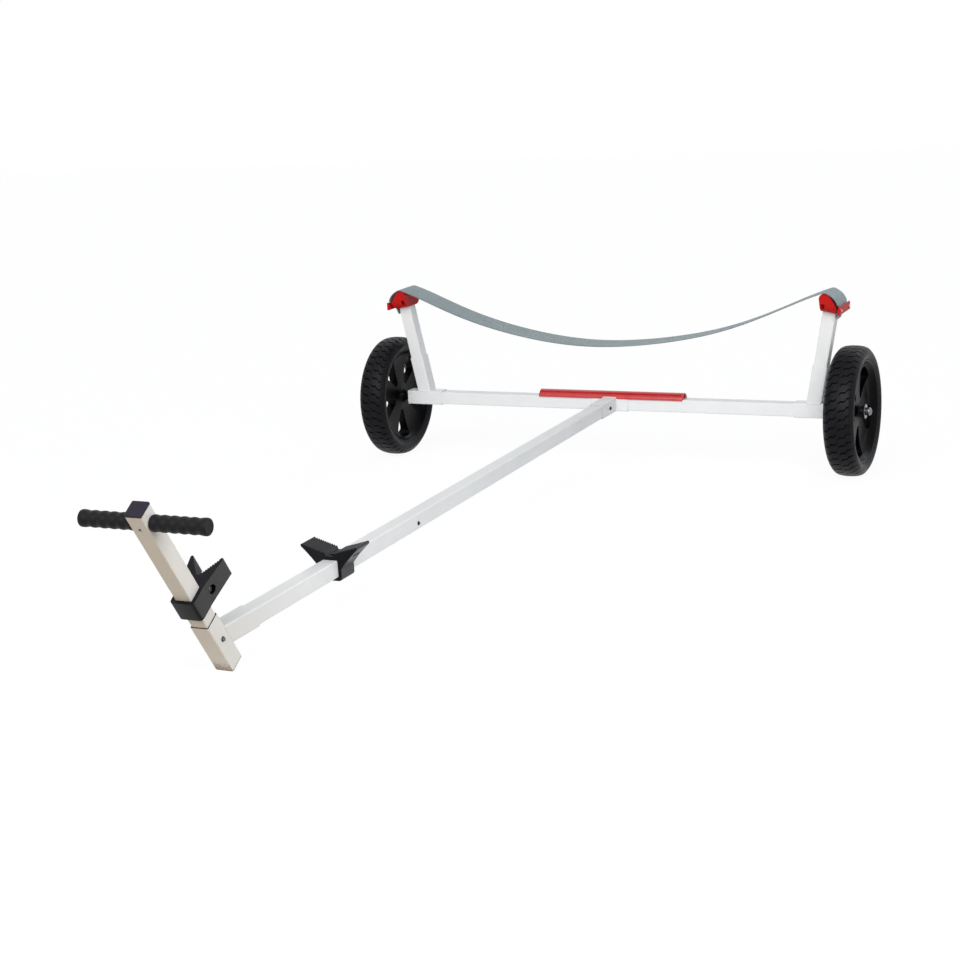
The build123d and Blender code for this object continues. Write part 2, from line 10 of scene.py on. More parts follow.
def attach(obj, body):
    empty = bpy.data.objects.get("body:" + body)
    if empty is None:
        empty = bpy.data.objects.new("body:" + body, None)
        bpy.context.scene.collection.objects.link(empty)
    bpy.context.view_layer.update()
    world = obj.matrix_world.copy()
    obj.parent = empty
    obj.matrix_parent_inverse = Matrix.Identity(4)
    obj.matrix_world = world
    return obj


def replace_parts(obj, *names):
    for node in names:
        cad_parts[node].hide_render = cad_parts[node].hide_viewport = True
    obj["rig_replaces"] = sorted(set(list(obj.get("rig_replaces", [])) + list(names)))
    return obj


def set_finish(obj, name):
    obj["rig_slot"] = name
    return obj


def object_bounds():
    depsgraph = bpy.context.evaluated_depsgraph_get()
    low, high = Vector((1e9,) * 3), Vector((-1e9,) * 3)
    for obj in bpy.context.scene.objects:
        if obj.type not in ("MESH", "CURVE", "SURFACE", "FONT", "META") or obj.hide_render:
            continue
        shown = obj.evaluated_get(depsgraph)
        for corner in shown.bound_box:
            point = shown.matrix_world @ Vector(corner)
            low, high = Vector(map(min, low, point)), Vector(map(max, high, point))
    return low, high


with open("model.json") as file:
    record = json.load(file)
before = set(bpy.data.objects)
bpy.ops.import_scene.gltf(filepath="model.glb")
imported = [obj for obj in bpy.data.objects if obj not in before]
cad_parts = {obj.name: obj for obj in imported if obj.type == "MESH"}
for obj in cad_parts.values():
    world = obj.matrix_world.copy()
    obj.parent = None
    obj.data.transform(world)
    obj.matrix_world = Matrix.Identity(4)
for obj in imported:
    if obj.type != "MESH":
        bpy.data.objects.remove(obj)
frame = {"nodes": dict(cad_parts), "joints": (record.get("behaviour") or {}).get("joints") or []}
cad_low, cad_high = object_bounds()
size = cad_high - cad_low
print(f"the trolley is {size.x:.3f} m wide, {size.y:.3f} m long and {size.z:.3f} m high")

# %% [markdown]
# ## Directions of the chassis
# The axle, the drawbar and the uprights are one flat chassis that slopes gently down to its
# front foot.  Writing every piece in world coordinates would mean turning each number by that
# slope.  Instead, each piece is drawn in millimetres in a plane of its own, and a placement
# matrix puts that plane where the CAD model has it.  The wheels' hinge points in the packed
# record fix the middle of the axle.
# %% Chassis directions and placements
MM = 0.001
CHASSIS_SLOPE = radians(2.87)
POST_LEAN = radians(32.1)
UPRIGHT_LEAN = radians(10.55)
DRAWBAR_LENGTH = 2284.0
UPRIGHT_X = 653.0
UPRIGHT_TOP = 307.0

hubs = {joint["child"]: Vector(joint["pos_m"]) for joint in frame["joints"]}
axle_centre = (hubs["wheel_right"] + hubs["wheel_left"]) / 2
SIDEWAYS = Vector((1, 0, 0))
forward = Vector((0, -cos(CHASSIS_SLOPE), -sin(CHASSIS_SLOPE)))
chassis_up = Vector((0, -sin(CHASSIS_SLOPE), cos(CHASSIS_SLOPE)))
post_up = chassis_up * cos(POST_LEAN) + forward * sin(POST_LEAN)
post_back = chassis_up * sin(POST_LEAN) - forward * cos(POST_LEAN)
upright_up = chassis_up * cos(UPRIGHT_LEAN) + SIDEWAYS * sin(UPRIGHT_LEAN)
upright_out = SIDEWAYS * cos(UPRIGHT_LEAN) - chassis_up * sin(UPRIGHT_LEAN)


def plane(origin, x_dir, z_dir):
    """The placement whose local x and z axes point those ways."""
    rows = (x_dir, z_dir.cross(x_dir), z_dir)
    return Matrix.Translation(origin) @ Matrix(rows).transposed().to_4x4()


def chassis_point(side=0.0, ahead=0.0, above=0.0):
    return axle_centre + (SIDEWAYS * side + forward * ahead + chassis_up * above) * MM


def across(side, ahead=0.0, above=0.0):
    """Section of a part that runs along the axle: x is rearward, y is up."""
    return plane(chassis_point(side, ahead, above), -forward, SIDEWAYS)


def along(ahead, side=0.0, above=0.0):
    """Section of a part that runs forward: x is sideways, y is up."""
    return plane(chassis_point(side, ahead, above), SIDEWAYS, forward)


def post_section(height=0.0):
    """Section of the handle post: x is sideways, y is rearward."""
    return plane(chassis_point(ahead=DRAWBAR_LENGTH) + post_up * height * MM, SIDEWAYS, post_up)


def upright_section(height=0.0):
    """Section of the right upright: x is outward, y is rearward."""
    return plane(chassis_point(UPRIGHT_X) + upright_up * height * MM, upright_out, upright_up)


def upright_side(ahead=0.0):
    """Side view of the right upright's head: x is outward, y is up the tube, z is forward."""
    head = chassis_point(UPRIGHT_X, ahead) + upright_up * UPRIGHT_TOP * MM
    return plane(head, upright_out, forward)


print("axle centre", [round(v, 4) for v in axle_centre])

# %% [markdown]
# ## The camera
# The object is seen from its front right, a little above, from about five metres away.  A long
# lens keeps the drawbar's perspective mild.  The camera leans a few degrees to one side.
# %% Camera
LENS_MM = 68.18
CAMERA_AT = (2.09896, -4.14169, 1.14718)
CAMERA_YAW, CAMERA_PITCH, CAMERA_ROLL = 0.452, 0.205, -0.043

scene = bpy.context.scene
lens = bpy.data.cameras.new("camera")
lens.lens, lens.sensor_width = LENS_MM, 36
camera = bpy.data.objects.new("camera", lens)
camera.matrix_world = (
    Matrix.Translation(CAMERA_AT)
    @ Matrix.Rotation(CAMERA_YAW, 4, "Z")
    @ Matrix.Rotation(pi / 2 - CAMERA_PITCH, 4, "X")
    @ Matrix.Rotation(CAMERA_ROLL, 4, "Z")
)
scene.collection.objects.link(camera)
scene.camera = camera
scene.view_settings.view_transform = "Standard"
print("camera", round((camera.location - axle_centre).length, 2), "m from the axle")

# %% [markdown]
# ## Small helpers for materials
# Every finish below is made of nodes.  The helpers keep that short: **feed** fills a node's
# sockets, **add_node** adds a node and fills it, and **new_effect** makes a shader group with
# named sockets.  A value given as a socket is linked, and any other value is set on the socket
# itself, so plain numbers stay on the shader.
# %% Node helpers


def feed(tree, node, **sockets):
    """Fill a node's sockets, named with underscores for spaces, or by number as _0 and _1."""
    for name, value in sockets.items():
        socket = node.inputs[int(name[1:]) if name[0] == "_" else name.replace("_", " ")]
        if isinstance(value, bpy.types.NodeSocket):
            tree.links.new(value, socket)
        else:
            socket.default_value = value


def add_node(tree, kind, settings=(), **sockets):
    """Add a node with its settings, and fill its sockets with values or links."""
    node = tree.nodes.new("ShaderNode" + kind)
    for name, value in dict(settings).items():
        setattr(node, name, value)
    feed(tree, node, **sockets)
    return node


def calc(tree, operation, a, b=0.0, clamp=False):
    """A Math node's output."""
    node = add_node(tree, "Math", {"operation": operation, "use_clamp": clamp}, _0=a, _1=b)
    return node.outputs[0]


def blend_colours(tree, share, a, b):
    """Mix two colours by a share from 0 to 1."""
    return add_node(tree, "Mix", {"data_type": "RGBA"}, _0=share, _6=a, _7=b).outputs[2]


def ramp(tree, value, low, high, to_low=0.0, to_high=1.0):
    """Stretch a value's range smoothly, and hold it at the ends."""
    node = add_node(tree, "MapRange", {"interpolation_type": "SMOOTHSTEP"}, Value=value,
                    From_Min=low, From_Max=high, To_Min=to_low, To_Max=to_high)
    return node.outputs[0]


def new_effect(name, inputs, outputs):
    """A shader group: inputs are (name, kind, default), outputs are (name, kind)."""
    group = bpy.data.node_groups.new(name, "ShaderNodeTree")
    for label, kind, default in inputs:
        socket_type = "NodeSocket" + kind
        socket = group.interface.new_socket(label, in_out="INPUT", socket_type=socket_type)
        if default is not None:
            socket.default_value = default
    for label, kind in outputs:
        group.interface.new_socket(label, in_out="OUTPUT", socket_type="NodeSocket" + kind)
    given = group.nodes.new("NodeGroupInput").outputs
    return group, given, group.nodes.new("NodeGroupOutput").inputs


def use_effect(tree, group, **sockets):
    """Place a shader group in a material, with its own values."""
    return add_node(tree, "Group", {"node_tree": group}, **sockets).outputs


def normal_part(tree, axis):
    """One component of the surface's normal, in world directions."""
    normal = add_node(tree, "NewGeometry").outputs["Normal"]
    return add_node(tree, "SeparateXYZ", Vector=normal).outputs[axis]


def seen_directly(tree):
    """1 for the rays that show something as it is: to the camera, in a reflection or through glass."""
    rays = add_node(tree, "LightPath")
    reflected = calc(tree, "MAXIMUM", rays.outputs["Is Glossy Ray"], rays.outputs["Is Transmission Ray"])
    return calc(tree, "MAXIMUM", rays.outputs["Is Camera Ray"], reflected)


def new_finish(name, **shader):
    """A material with one Principled shader; returns the material, its tree and the shader."""
    finish = bpy.data.materials.new(name)
    finish.use_nodes = True
    tree = finish.node_tree
    principled = tree.nodes["Principled BSDF"]
    feed(tree, principled, **shader)
    return finish, tree, principled


print("node helpers are ready")

# %% [markdown]
# ## Shared surface effects
# Four effects come back on the finishes, so each is a shader group.
# * **grain** is the fine texture of moulded plastic or powder coat: two sizes of noise.
# * **patches** is slow, cloudy variation, for uneven gloss, fading and dust.
# * **edge wear** finds outer edges by comparing the true normal with a rounded one.
# * **low dirt** is a stain that climbs a few centimetres from the ground.
# %% Grain and patches
grain_effect, given, result = new_effect(
    "grain", [("Size", "Float", 0.001), ("Coarse Share", "Float", 0.5)], [("Height", "Float")])
tree = grain_effect
place = add_node(tree, "TexCoord").outputs["Object"]
fine_scale = calc(tree, "DIVIDE", 1.0, given["Size"])
fine = add_node(tree, "TexNoise", Vector=place, Scale=fine_scale, Detail=2.0)
coarse_scale = calc(tree, "MULTIPLY", fine_scale, 0.28)
coarse = add_node(tree, "TexNoise", Vector=place, Scale=coarse_scale, Detail=1.0)
share = given["Coarse Share"]
fine_part = calc(tree, "MULTIPLY", fine.outputs["Fac"], calc(tree, "SUBTRACT", 1.0, share))
coarse_part = calc(tree, "MULTIPLY", coarse.outputs["Fac"], share)
tree.links.new(calc(tree, "ADD", fine_part, coarse_part), result["Height"])

patches_effect, given, result = new_effect(
    "patches", [("Size", "Float", 0.1), ("Contrast", "Float", 1.0)], [("Mask", "Float")])
tree = patches_effect
place = add_node(tree, "TexCoord").outputs["Object"]
cloud = add_node(tree, "TexNoise", Vector=place, Scale=calc(tree, "DIVIDE", 1.0, given["Size"]),
                 Detail=5.0, Roughness=0.6)
centred = calc(tree, "SUBTRACT", cloud.outputs["Fac"], 0.5)
stretched = calc(tree, "MULTIPLY", centred, calc(tree, "MULTIPLY", given["Contrast"], 3.0))
tree.links.new(calc(tree, "ADD", stretched, 0.5, clamp=True), result["Mask"])
print("grain and patches")

# %% Edge wear and low dirt
edge_effect, given, result = new_effect(
    "edge wear", [("Radius", "Float", 0.001), ("Patchiness", "Float", 0.5)], [("Mask", "Float")])
tree = edge_effect
rounded_normal = add_node(tree, "Bevel", {"samples": 4}, Radius=given["Radius"]).outputs["Normal"]
true_normal = add_node(tree, "NewGeometry").outputs["Normal"]
agreement = add_node(tree, "VectorMath", {"operation": "DOT_PRODUCT"}, _0=rounded_normal, _1=true_normal)
edge = ramp(tree, agreement.outputs["Value"], 0.99, 0.86)     # a wider angle between them is an edge
place = add_node(tree, "TexCoord").outputs["Object"]
scuffs = add_node(tree, "TexNoise", Vector=place, Scale=90.0, Detail=6.0, Roughness=0.7).outputs["Fac"]
broken = ramp(tree, scuffs, 0.42, 0.6)
kept = calc(tree, "SUBTRACT", 1.0, calc(tree, "MULTIPLY", given["Patchiness"],
                                        calc(tree, "SUBTRACT", 1.0, broken)))
tree.links.new(calc(tree, "MULTIPLY", edge, kept), result["Mask"])

dirt_effect, given, result = new_effect(
    "low dirt", [("Top", "Float", 0.06), ("Spots", "Float", 0.01)], [("Mask", "Float")])
tree = dirt_effect
world_place = add_node(tree, "NewGeometry").outputs["Position"]
ground_height = add_node(tree, "SeparateXYZ", Vector=world_place).outputs["Z"]
stain = add_node(tree, "TexNoise", Vector=world_place, Scale=calc(tree, "DIVIDE", 1.0, given["Spots"]),
                 Detail=6.0, Roughness=0.65).outputs["Fac"]
climb = calc(tree, "DIVIDE", ground_height, given["Top"])
reach = calc(tree, "SUBTRACT", calc(tree, "MULTIPLY", stain, 2.2), climb)
tree.links.new(ramp(tree, reach, 0.05, 1.0), result["Mask"])
print("edge wear and low dirt")

# %% [markdown]
# ## Finishes of the metal and plastic
# The tube is powder coated: white paint with a faint orange-peel texture and a soft gloss, and
# dusty beige low on the front of the foot.  The chocks, grips and rims are black plastic and rubber, which
# are never quite black: they fade, scuff at the edges and hold dust in their grain.
# The chock plastic also has a painted sheen: its faces that look sideways are painted a lighter grey, in
# place of light reflected from the side.
# %% White powder coat
DUST = (0.36, 0.27, 0.18, 1.0)

powder_coat, tree, shader = new_finish("white powder coat", Specular_IOR_Level=0.5)
cloud = use_effect(tree, patches_effect, Size=0.09, Contrast=0.8)["Mask"]
dirt = use_effect(tree, dirt_effect, Top=0.026, Spots=0.005)["Mask"]
faces_front = ramp(tree, normal_part(tree, "Y"), -0.3, -0.7)     # only the foot's front is dirty
dirt = calc(tree, "MULTIPLY", dirt, faces_front)
worn = use_effect(tree, edge_effect, Radius=0.0012, Patchiness=0.9)["Mask"]
paint = blend_colours(tree, cloud, (0.84, 0.845, 0.835, 1), (0.80, 0.805, 0.80, 1))
scuffed = blend_colours(tree, calc(tree, "MULTIPLY", worn, 0.35), paint, (0.62, 0.61, 0.58, 1))
dusty = blend_colours(tree, calc(tree, "MULTIPLY", dirt, 0.75), scuffed, DUST)
gloss = calc(tree, "ADD", calc(tree, "MULTIPLY", cloud, 0.10), 0.30)
dulled = calc(tree, "ADD", gloss, calc(tree, "MULTIPLY", dirt, 0.35))
peel = use_effect(tree, grain_effect, Size=0.0022, Coarse_Share=0.6)["Height"]
bump = add_node(tree, "Bump", Strength=0.12, Distance=0.0006, Height=peel)
feed(tree, shader, Base_Color=dusty, Roughness=dulled, Normal=bump.outputs["Normal"])
print(powder_coat.name)

# %% Moulded plastics and grip rubber


def moulded(name, colour, faded, roughness, grain_size, bump_depth, wear=0.4, coat=0.0, fade=0.6,
            shine=0.5, side_sheen=None):
    """Moulded plastic or rubber, with a fine grain, cloudy fading and scuffed edges.

    colour and faded are its darkest and most faded colour, and the last colour is a painted sheen: a lighter
    tone painted on faces that look sideways, in place of reflected side light.
    """
    finish, tree, shader = new_finish(name, Coat_Weight=coat, Coat_Roughness=0.12, Specular_IOR_Level=shine)
    cloud = use_effect(tree, patches_effect, Size=0.05, Contrast=1.0)["Mask"]
    edges = use_effect(tree, edge_effect, Radius=0.0011, Patchiness=0.7)["Mask"]
    grain = use_effect(tree, grain_effect, Size=grain_size, Coarse_Share=0.35)["Height"]
    clouded, scuffed = calc(tree, "MULTIPLY", cloud, fade), calc(tree, "MULTIPLY", edges, wear)
    share = calc(tree, "ADD", clouded, scuffed, clamp=True)
    grainy = ramp(tree, grain, 0.3, 0.6, 0.6, 1.0)
    body_colour = blend_colours(tree, calc(tree, "MULTIPLY", share, grainy), colour + (1,), faded + (1,))
    # painted sheen: faces that look sideways are painted towards a lighter colour, standing in for the side
    # light they reflect
    if side_sheen:
        sideways = ramp(tree, calc(tree, "ABSOLUTE", normal_part(tree, "X")), 0.80, 0.97)
        painted_sheen_share = calc(tree, "MULTIPLY", sideways, grainy)
        body_colour = blend_colours(tree, painted_sheen_share, body_colour, side_sheen + (1,))
    rough = calc(tree, "ADD", calc(tree, "MULTIPLY", cloud, 0.12), roughness)
    bump = add_node(tree, "Bump", Strength=0.35, Distance=bump_depth, Height=grain)
    feed(tree, shader, Base_Color=body_colour, Roughness=rough, Normal=bump.outputs["Normal"])
    return finish


# this plastic's sideways faces get a painted sheen of lighter grey, in place of reflected side light
chock_plastic = moulded("black chock plastic", (0.0025, 0.0025, 0.004), (0.012, 0.012, 0.018),
                        0.28, 0.0009, 0.00012, shine=0.14, side_sheen=(0.058, 0.058, 0.062))
rim_plastic = moulded("black rim plastic", (0.0015, 0.0015, 0.002), (0.004, 0.004, 0.005),
                      0.24, 0.0011, 0.0001, wear=0.1, shine=0.06)
cap_plastic = moulded("slate cap plastic", (0.016, 0.012, 0.026), (0.034, 0.028, 0.046),
                      0.42, 0.0008, 0.0001, shine=0.2)
grip_rubber = moulded("charcoal grip rubber", (0.005, 0.005, 0.006), (0.014, 0.013, 0.015),
                      0.42, 0.0007, 0.0003, shine=0.16)
red_plastic = moulded("red gloss plastic", (0.50, 0.009, 0.012), (0.60, 0.020, 0.022),
                      0.16, 0.0020, 0.00004, wear=0.15, coat=0.4)
red_satin = moulded("red satin plastic", (0.50, 0.010, 0.010), (0.60, 0.022, 0.018),
                    0.34, 0.0020, 0.00004, wear=0.12, shine=0.08)
tyre_rubber = moulded("tyre foam rubber", (0.0025, 0.0025, 0.004), (0.009, 0.009, 0.012),
                      0.36, 0.0013, 0.0003, wear=0.8, shine=0.12)
print("plastics:", chock_plastic.name, rim_plastic.name, cap_plastic.name, red_plastic.name)

# %% Steel and mill aluminium


def brushed(name, colour, roughness, streak):
    """Bare metal with fine streaks along its own length and slow tarnish."""
    finish, tree, shader = new_finish(name, Metallic=1.0)
    place = add_node(tree, "TexCoord").outputs["Object"]
    squeezed = add_node(tree, "Mapping", Vector=place, Scale=streak)
    streaks = add_node(tree, "TexNoise", Vector=squeezed.outputs[0], Scale=1.0, Detail=3.0).outputs["Fac"]
    tarnish = use_effect(tree, patches_effect, Size=0.012, Contrast=1.0)["Mask"]
    duller = tuple(c * 0.55 for c in colour[:3]) + (1.0,)
    tarnished = blend_colours(tree, calc(tree, "MULTIPLY", tarnish, 0.5), colour, duller)
    rough = ramp(tree, streaks, 0.3, 0.7, roughness * 0.7, roughness * 1.5)
    bump = add_node(tree, "Bump", Strength=0.15, Distance=0.00005, Height=streaks)
    feed(tree, shader, Base_Color=tarnished, Roughness=rough, Normal=bump.outputs["Normal"])
    return finish


bright_steel = brushed("bright steel", (0.72, 0.72, 0.73, 1), 0.18, (900, 900, 60))
plated_steel = brushed("plated hub steel", (0.22, 0.22, 0.23, 1), 0.26, (700, 700, 60))
bolt_steel = brushed("dull bolt steel", (0.13, 0.13, 0.14, 1), 0.30, (500, 500, 60))
dark_bolt = brushed("blackened bolt steel", (0.03, 0.045, 0.065, 1), 0.35, (500, 500, 60))
mill_aluminium = brushed("mill aluminium", (0.75, 0.76, 0.77, 1), 0.32, (1200, 1200, 8))
print("metals:", bright_steel.name, dark_bolt.name, mill_aluminium.name)

# %% [markdown]
# ## How the pieces are shaped
# A shape is a list of points in millimetres and a list of faces.  Most of the trolley is either
# pushed along a line (tube, chocks, caps) or turned round one (grips, wheels, bolts), so a few
# small functions make nearly every piece:
# * **rounded** gives an outline's corners their radii,
# * **skin** joins a stack of rings into one closed surface,
# * **turned** spins a profile round the local z axis,
# * **piece** makes the mesh, cuts holes with Blender's Boolean, softens the hard edges with its
#   Bevel modifier, and hands the result to the right moving body.
# %% Outlines and skins


def rounded(corners, radius=0.0, steps=5):
    """Round the corners of a closed outline; a corner may carry its own radius as a third number."""
    outline = []
    for i, corner in enumerate(corners):
        here = Vector(corner[:2])
        size_here = corner[2] if len(corner) > 2 else radius
        back = (Vector(corners[i - 1][:2]) - here).normalized()
        on = (Vector(corners[(i + 1) % len(corners)][:2]) - here).normalized()
        turn = pi - back.angle(on)
        if size_here <= 0 or turn < 0.02:
            outline.append((here.x, here.y))
            continue
        centre = here + (back + on).normalized() * size_here / cos(turn / 2)
        start = here + back * size_here * tan(turn / 2) - centre
        way = 1 if back.x * on.y - back.y * on.x < 0 else -1
        for step in range(steps + 1):
            angle = way * turn * step / steps
            outline.append((centre.x + start.x * cos(angle) - start.y * sin(angle),
                            centre.y + start.x * sin(angle) + start.y * cos(angle)))
    return outline


def square_outline(half, corner, steps=5):
    return rounded([(half, half), (-half, half), (-half, -half), (half, -half)], corner, steps)


def skin(rings, loop=False):
    """Join rings of equal count with quads, and close the two ends unless the rings form a loop."""
    count = len(rings[0])
    points = [point for ring in rings for point in ring]
    faces = []
    for i in range(len(rings) if loop else len(rings) - 1):
        here, there = i * count, (i + 1) % len(rings) * count
        for k in range(count):
            k_next = (k + 1) % count
            faces.append((here + k, here + k_next, there + k_next, there + k))
    if not loop:
        faces += [tuple(reversed(range(count))), tuple(range(len(points) - count, len(points)))]
    return points, faces


def at_height(outline, z):
    return [(x, y, z) for x, y in outline]


def circle(radius, z=0.0, steps=36):
    angles = [2 * pi * k / steps for k in range(steps)]
    return [(radius * cos(a), radius * sin(a), z) for a in angles]


def pushed(outline, start, end):
    """Push an outline along z; an end may be a height or a function of x and y."""
    level = [(cut if callable(cut) else (lambda x, y, cut=cut: cut)) for cut in (start, end)]
    return skin([[(x, y, cut(x, y)) for x, y in outline] for cut in level])


def turned(profile, steps=48, loop=False):
    """Spin a profile of (z, radius) round the z axis."""
    return skin([circle(r, z, steps) for z, r in profile], loop)


def arc(centre, radius, start, end, steps=12):
    """Points on an arc, in degrees."""
    angles = [radians(start + (end - start) * k / steps) for k in range(steps + 1)]
    return [(centre[0] + radius * cos(a), centre[1] + radius * sin(a)) for a in angles]


print("a rounded square has", len(square_outline(20, 3)), "points")

# %% Making a piece


def turn_faces_out(mesh):
    cleaned = bmesh.new()
    cleaned.from_mesh(mesh)
    bmesh.ops.recalc_face_normals(cleaned, faces=cleaned.faces)
    cleaned.to_mesh(mesh)
    cleaned.free()


def new_object(name, shapes, base):
    """One closed mesh from (shape, placement) pairs, in the base placement, in metres."""
    points, faces = [], []
    for (shape_points, shape_faces), placement in shapes:
        here = base.inverted() @ placement
        offset = len(points)
        points += [here @ (Vector(point) * MM) for point in shape_points]
        faces += [tuple(i + offset for i in face) for face in shape_faces]
    mesh = bpy.data.meshes.new(name)
    mesh.from_pydata(points, [], faces)
    turn_faces_out(mesh)
    made = bpy.data.objects.new(name, mesh)
    scene.collection.objects.link(made)
    made.matrix_world = base
    return made


def carve(target, shapes):
    """Cut (shape, placement) pairs out of an object."""
    cutter = new_object("cutter", shapes, shapes[0][1])
    cut = target.modifiers.new("cut", "BOOLEAN")
    cut.object, cut.solver, cut.operation = cutter, "EXACT", "DIFFERENCE"
    bpy.context.view_layer.update()
    depsgraph = bpy.context.evaluated_depsgraph_get()
    carved = bpy.data.meshes.new_from_object(target.evaluated_get(depsgraph))
    target.modifiers.clear()
    target.data = carved
    bpy.data.objects.remove(cutter)


def ride_and_stand(made, body, slot, nodes):
    """Hand a piece to its moving body, and name the CAD nodes it stands for."""
    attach(made, body)
    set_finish(made, slot)
    if nodes:
        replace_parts(made, *nodes)
    return made


def piece(name, shapes, finish, slot, nodes=(), body="chassis", edge=0.0, cuts=(), sharp=35.0, segments=3):
    """A finished piece from (shape, placement) pairs; edge is the radius of its softened edges."""
    base = Matrix.Identity(4) if body == "chassis" else shapes[0][1]
    made = new_object(name, shapes, base)
    for cut in cuts:
        carve(made, [cut])
    made.data.shade_smooth()
    if edge:
        soften = made.modifiers.new("soft edges", "BEVEL")
        soften.width, soften.segments = edge * MM, segments
        soften.limit_method, soften.angle_limit = "ANGLE", radians(sharp)
        soften.harden_normals = True
    else:
        made.data.set_sharp_from_angle(angle=radians(sharp))
        weigh = made.modifiers.new("even shading", "WEIGHTED_NORMAL")
        weigh.keep_sharp = True
    made.data.materials.clear()
    made.data.materials.append(finish)
    print(f"{name}: {len(made.data.polygons)} faces")
    return ride_and_stand(made, body, slot, nodes)


FLIP = Matrix.Diagonal((-1, 1, 1, 1))


def mirror_piece(right, nodes=(), body="chassis"):
    """The left-hand twin of a right-hand piece."""
    left = right.copy()
    left.data = right.data.copy()
    left.data.transform(FLIP)
    left.data.flip_normals()
    left.name = left.data.name = right.name.replace("right", "left")
    scene.collection.objects.link(left)
    left.parent = None
    left.matrix_world = FLIP @ right.matrix_world @ FLIP
    if "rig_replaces" in left:
        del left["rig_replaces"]
    return ride_and_stand(left, body, right["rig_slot"], nodes)


# %% [markdown]
# ## Square tube
# The chassis is extruded aluminium tube, 40 mm square, and the sockets that join it are 45 mm
# square.  Extruded tube has small outer radii that catch a thin line of light along each edge,
# and its sawn ends are filed.  Each length is a ring of rounded squares: outer wall, filed lip
# and inner wall, closed into a loop.  A cut is a height with two slopes, so that a tube can be
# mitred against another.
# %% Tube lengths
TUBE, SLEEVE, WALL = 40.0, 45.0, 2.0
TUBE_RADIUS, SLEEVE_RADIUS = 3.2, 3.8
FILED_EDGE = 0.4
FUNNEL = 1.3            # the sawn ends are countersunk towards the bore


def tube_shape(size_across, corner, start, end):
    """A hollow square tube between two cuts, each (height, slope along x, slope along y)."""
    half = size_across / 2
    outer = square_outline(half, corner)
    lip = square_outline(half - FILED_EDGE, corner - FILED_EDGE)
    inner = square_outline(half - WALL, corner - WALL)
    rings = []
    for outline, (height, along_x, along_y), shift in (
            (inner, start, FUNNEL), (lip, start, 0), (outer, start, FILED_EDGE),
            (outer, end, -FILED_EDGE), (lip, end, 0), (inner, end, -FUNNEL)):
        rings.append([(x, y, height + along_x * x + along_y * y + shift) for x, y in outline])
    return skin(rings, loop=True)


def as_cut(cut):
    """A plain height is a square cut."""
    return cut if isinstance(cut, tuple) else (cut, 0.0, 0.0)


def tube_length(start, end):
    return tube_shape(TUBE, TUBE_RADIUS, as_cut(start), as_cut(end))


def sleeve_length(start, end):
    return tube_shape(SLEEVE, SLEEVE_RADIUS, as_cut(start), as_cut(end))


AXLE_TUBE_HALF, JOINT_AT = 700.0, 1372.0
FRONT_TUBE_GAP = 55.0
piece("axle_beam", [(tube_length(-AXLE_TUBE_HALF, AXLE_TUBE_HALF), across(0))],
      powder_coat, "white_tube", ["axle_tube"])
piece("drawbar_rear", [(tube_length(SLEEVE / 2, JOINT_AT), along(0))],
      powder_coat, "white_tube", ["rear_drawbar_tube"])
piece("drawbar_front", [(tube_length(JOINT_AT, DRAWBAR_LENGTH - FRONT_TUBE_GAP), along(0))],
      powder_coat, "white_tube", ["front_drawbar_tube"])

# %% [markdown]
# ## Weld beads
# The sockets are welded where they meet.  A weld in aluminium is a row of overlapping ripples,
# like a stack of coins pushed over, and the powder coat softens them.  The bead is a thin tube
# that follows the branch's rounded square, with a radius that swells and falls along it.
# %% Weld beads
RIPPLE = 2.6


def bead_shape(outline, cut, radius):
    """A rippled bead along an outline that lies on a cut."""
    height, along_x, along_y = as_cut(cut)
    corners = [Vector((x, y, height + along_x * x + along_y * y)) for x, y in outline]
    path = []
    for i, here in enumerate(corners):
        there = corners[(i + 1) % len(corners)]
        parts = max(1, round((there - here).length / (RIPPLE / 4)))
        path += [here.lerp(there, k / parts) for k in range(parts)]
    middle = sum(corners, Vector()) / len(corners)
    rings, travelled = [], 0.0
    for i, here in enumerate(path):
        way = (path[(i + 1) % len(path)] - path[i - 1]).normalized()
        out = (here - middle).normalized()
        out = (out - way * out.dot(way)).normalized()
        side = way.cross(out)
        travelled += (here - path[i - 1]).length if i else 0.0
        swell = radius * (0.82 + 0.3 * abs(sin(pi * travelled / RIPPLE)))
        rings.append([here + (out * x + side * y) * swell for x, y, z in circle(1.0, steps=8)])
    return skin(rings, loop=True)


weld_outline = square_outline(SLEEVE / 2 - 0.2, SLEEVE_RADIUS)
print("a weld is", round(4 * SLEEVE), "mm long")

# %% [markdown]
# ## The rear tee
# A sleeve is welded across the drawbar's socket, and the axle slides through it.
# %% Rear tee
CENTRE_SLEEVE_HALF, REAR_SOCKET_END = 60.0, 134.0
BEAD = 1.5
piece("rear_tee", [
    (sleeve_length(-CENTRE_SLEEVE_HALF, CENTRE_SLEEVE_HALF), across(0)),
    (sleeve_length(SLEEVE / 2 - 1, REAR_SOCKET_END), along(0)),
    (bead_shape(weld_outline, SLEEVE / 2 + 0.2, BEAD), along(0)),
], powder_coat, "white_tube", ["centre_tee"])

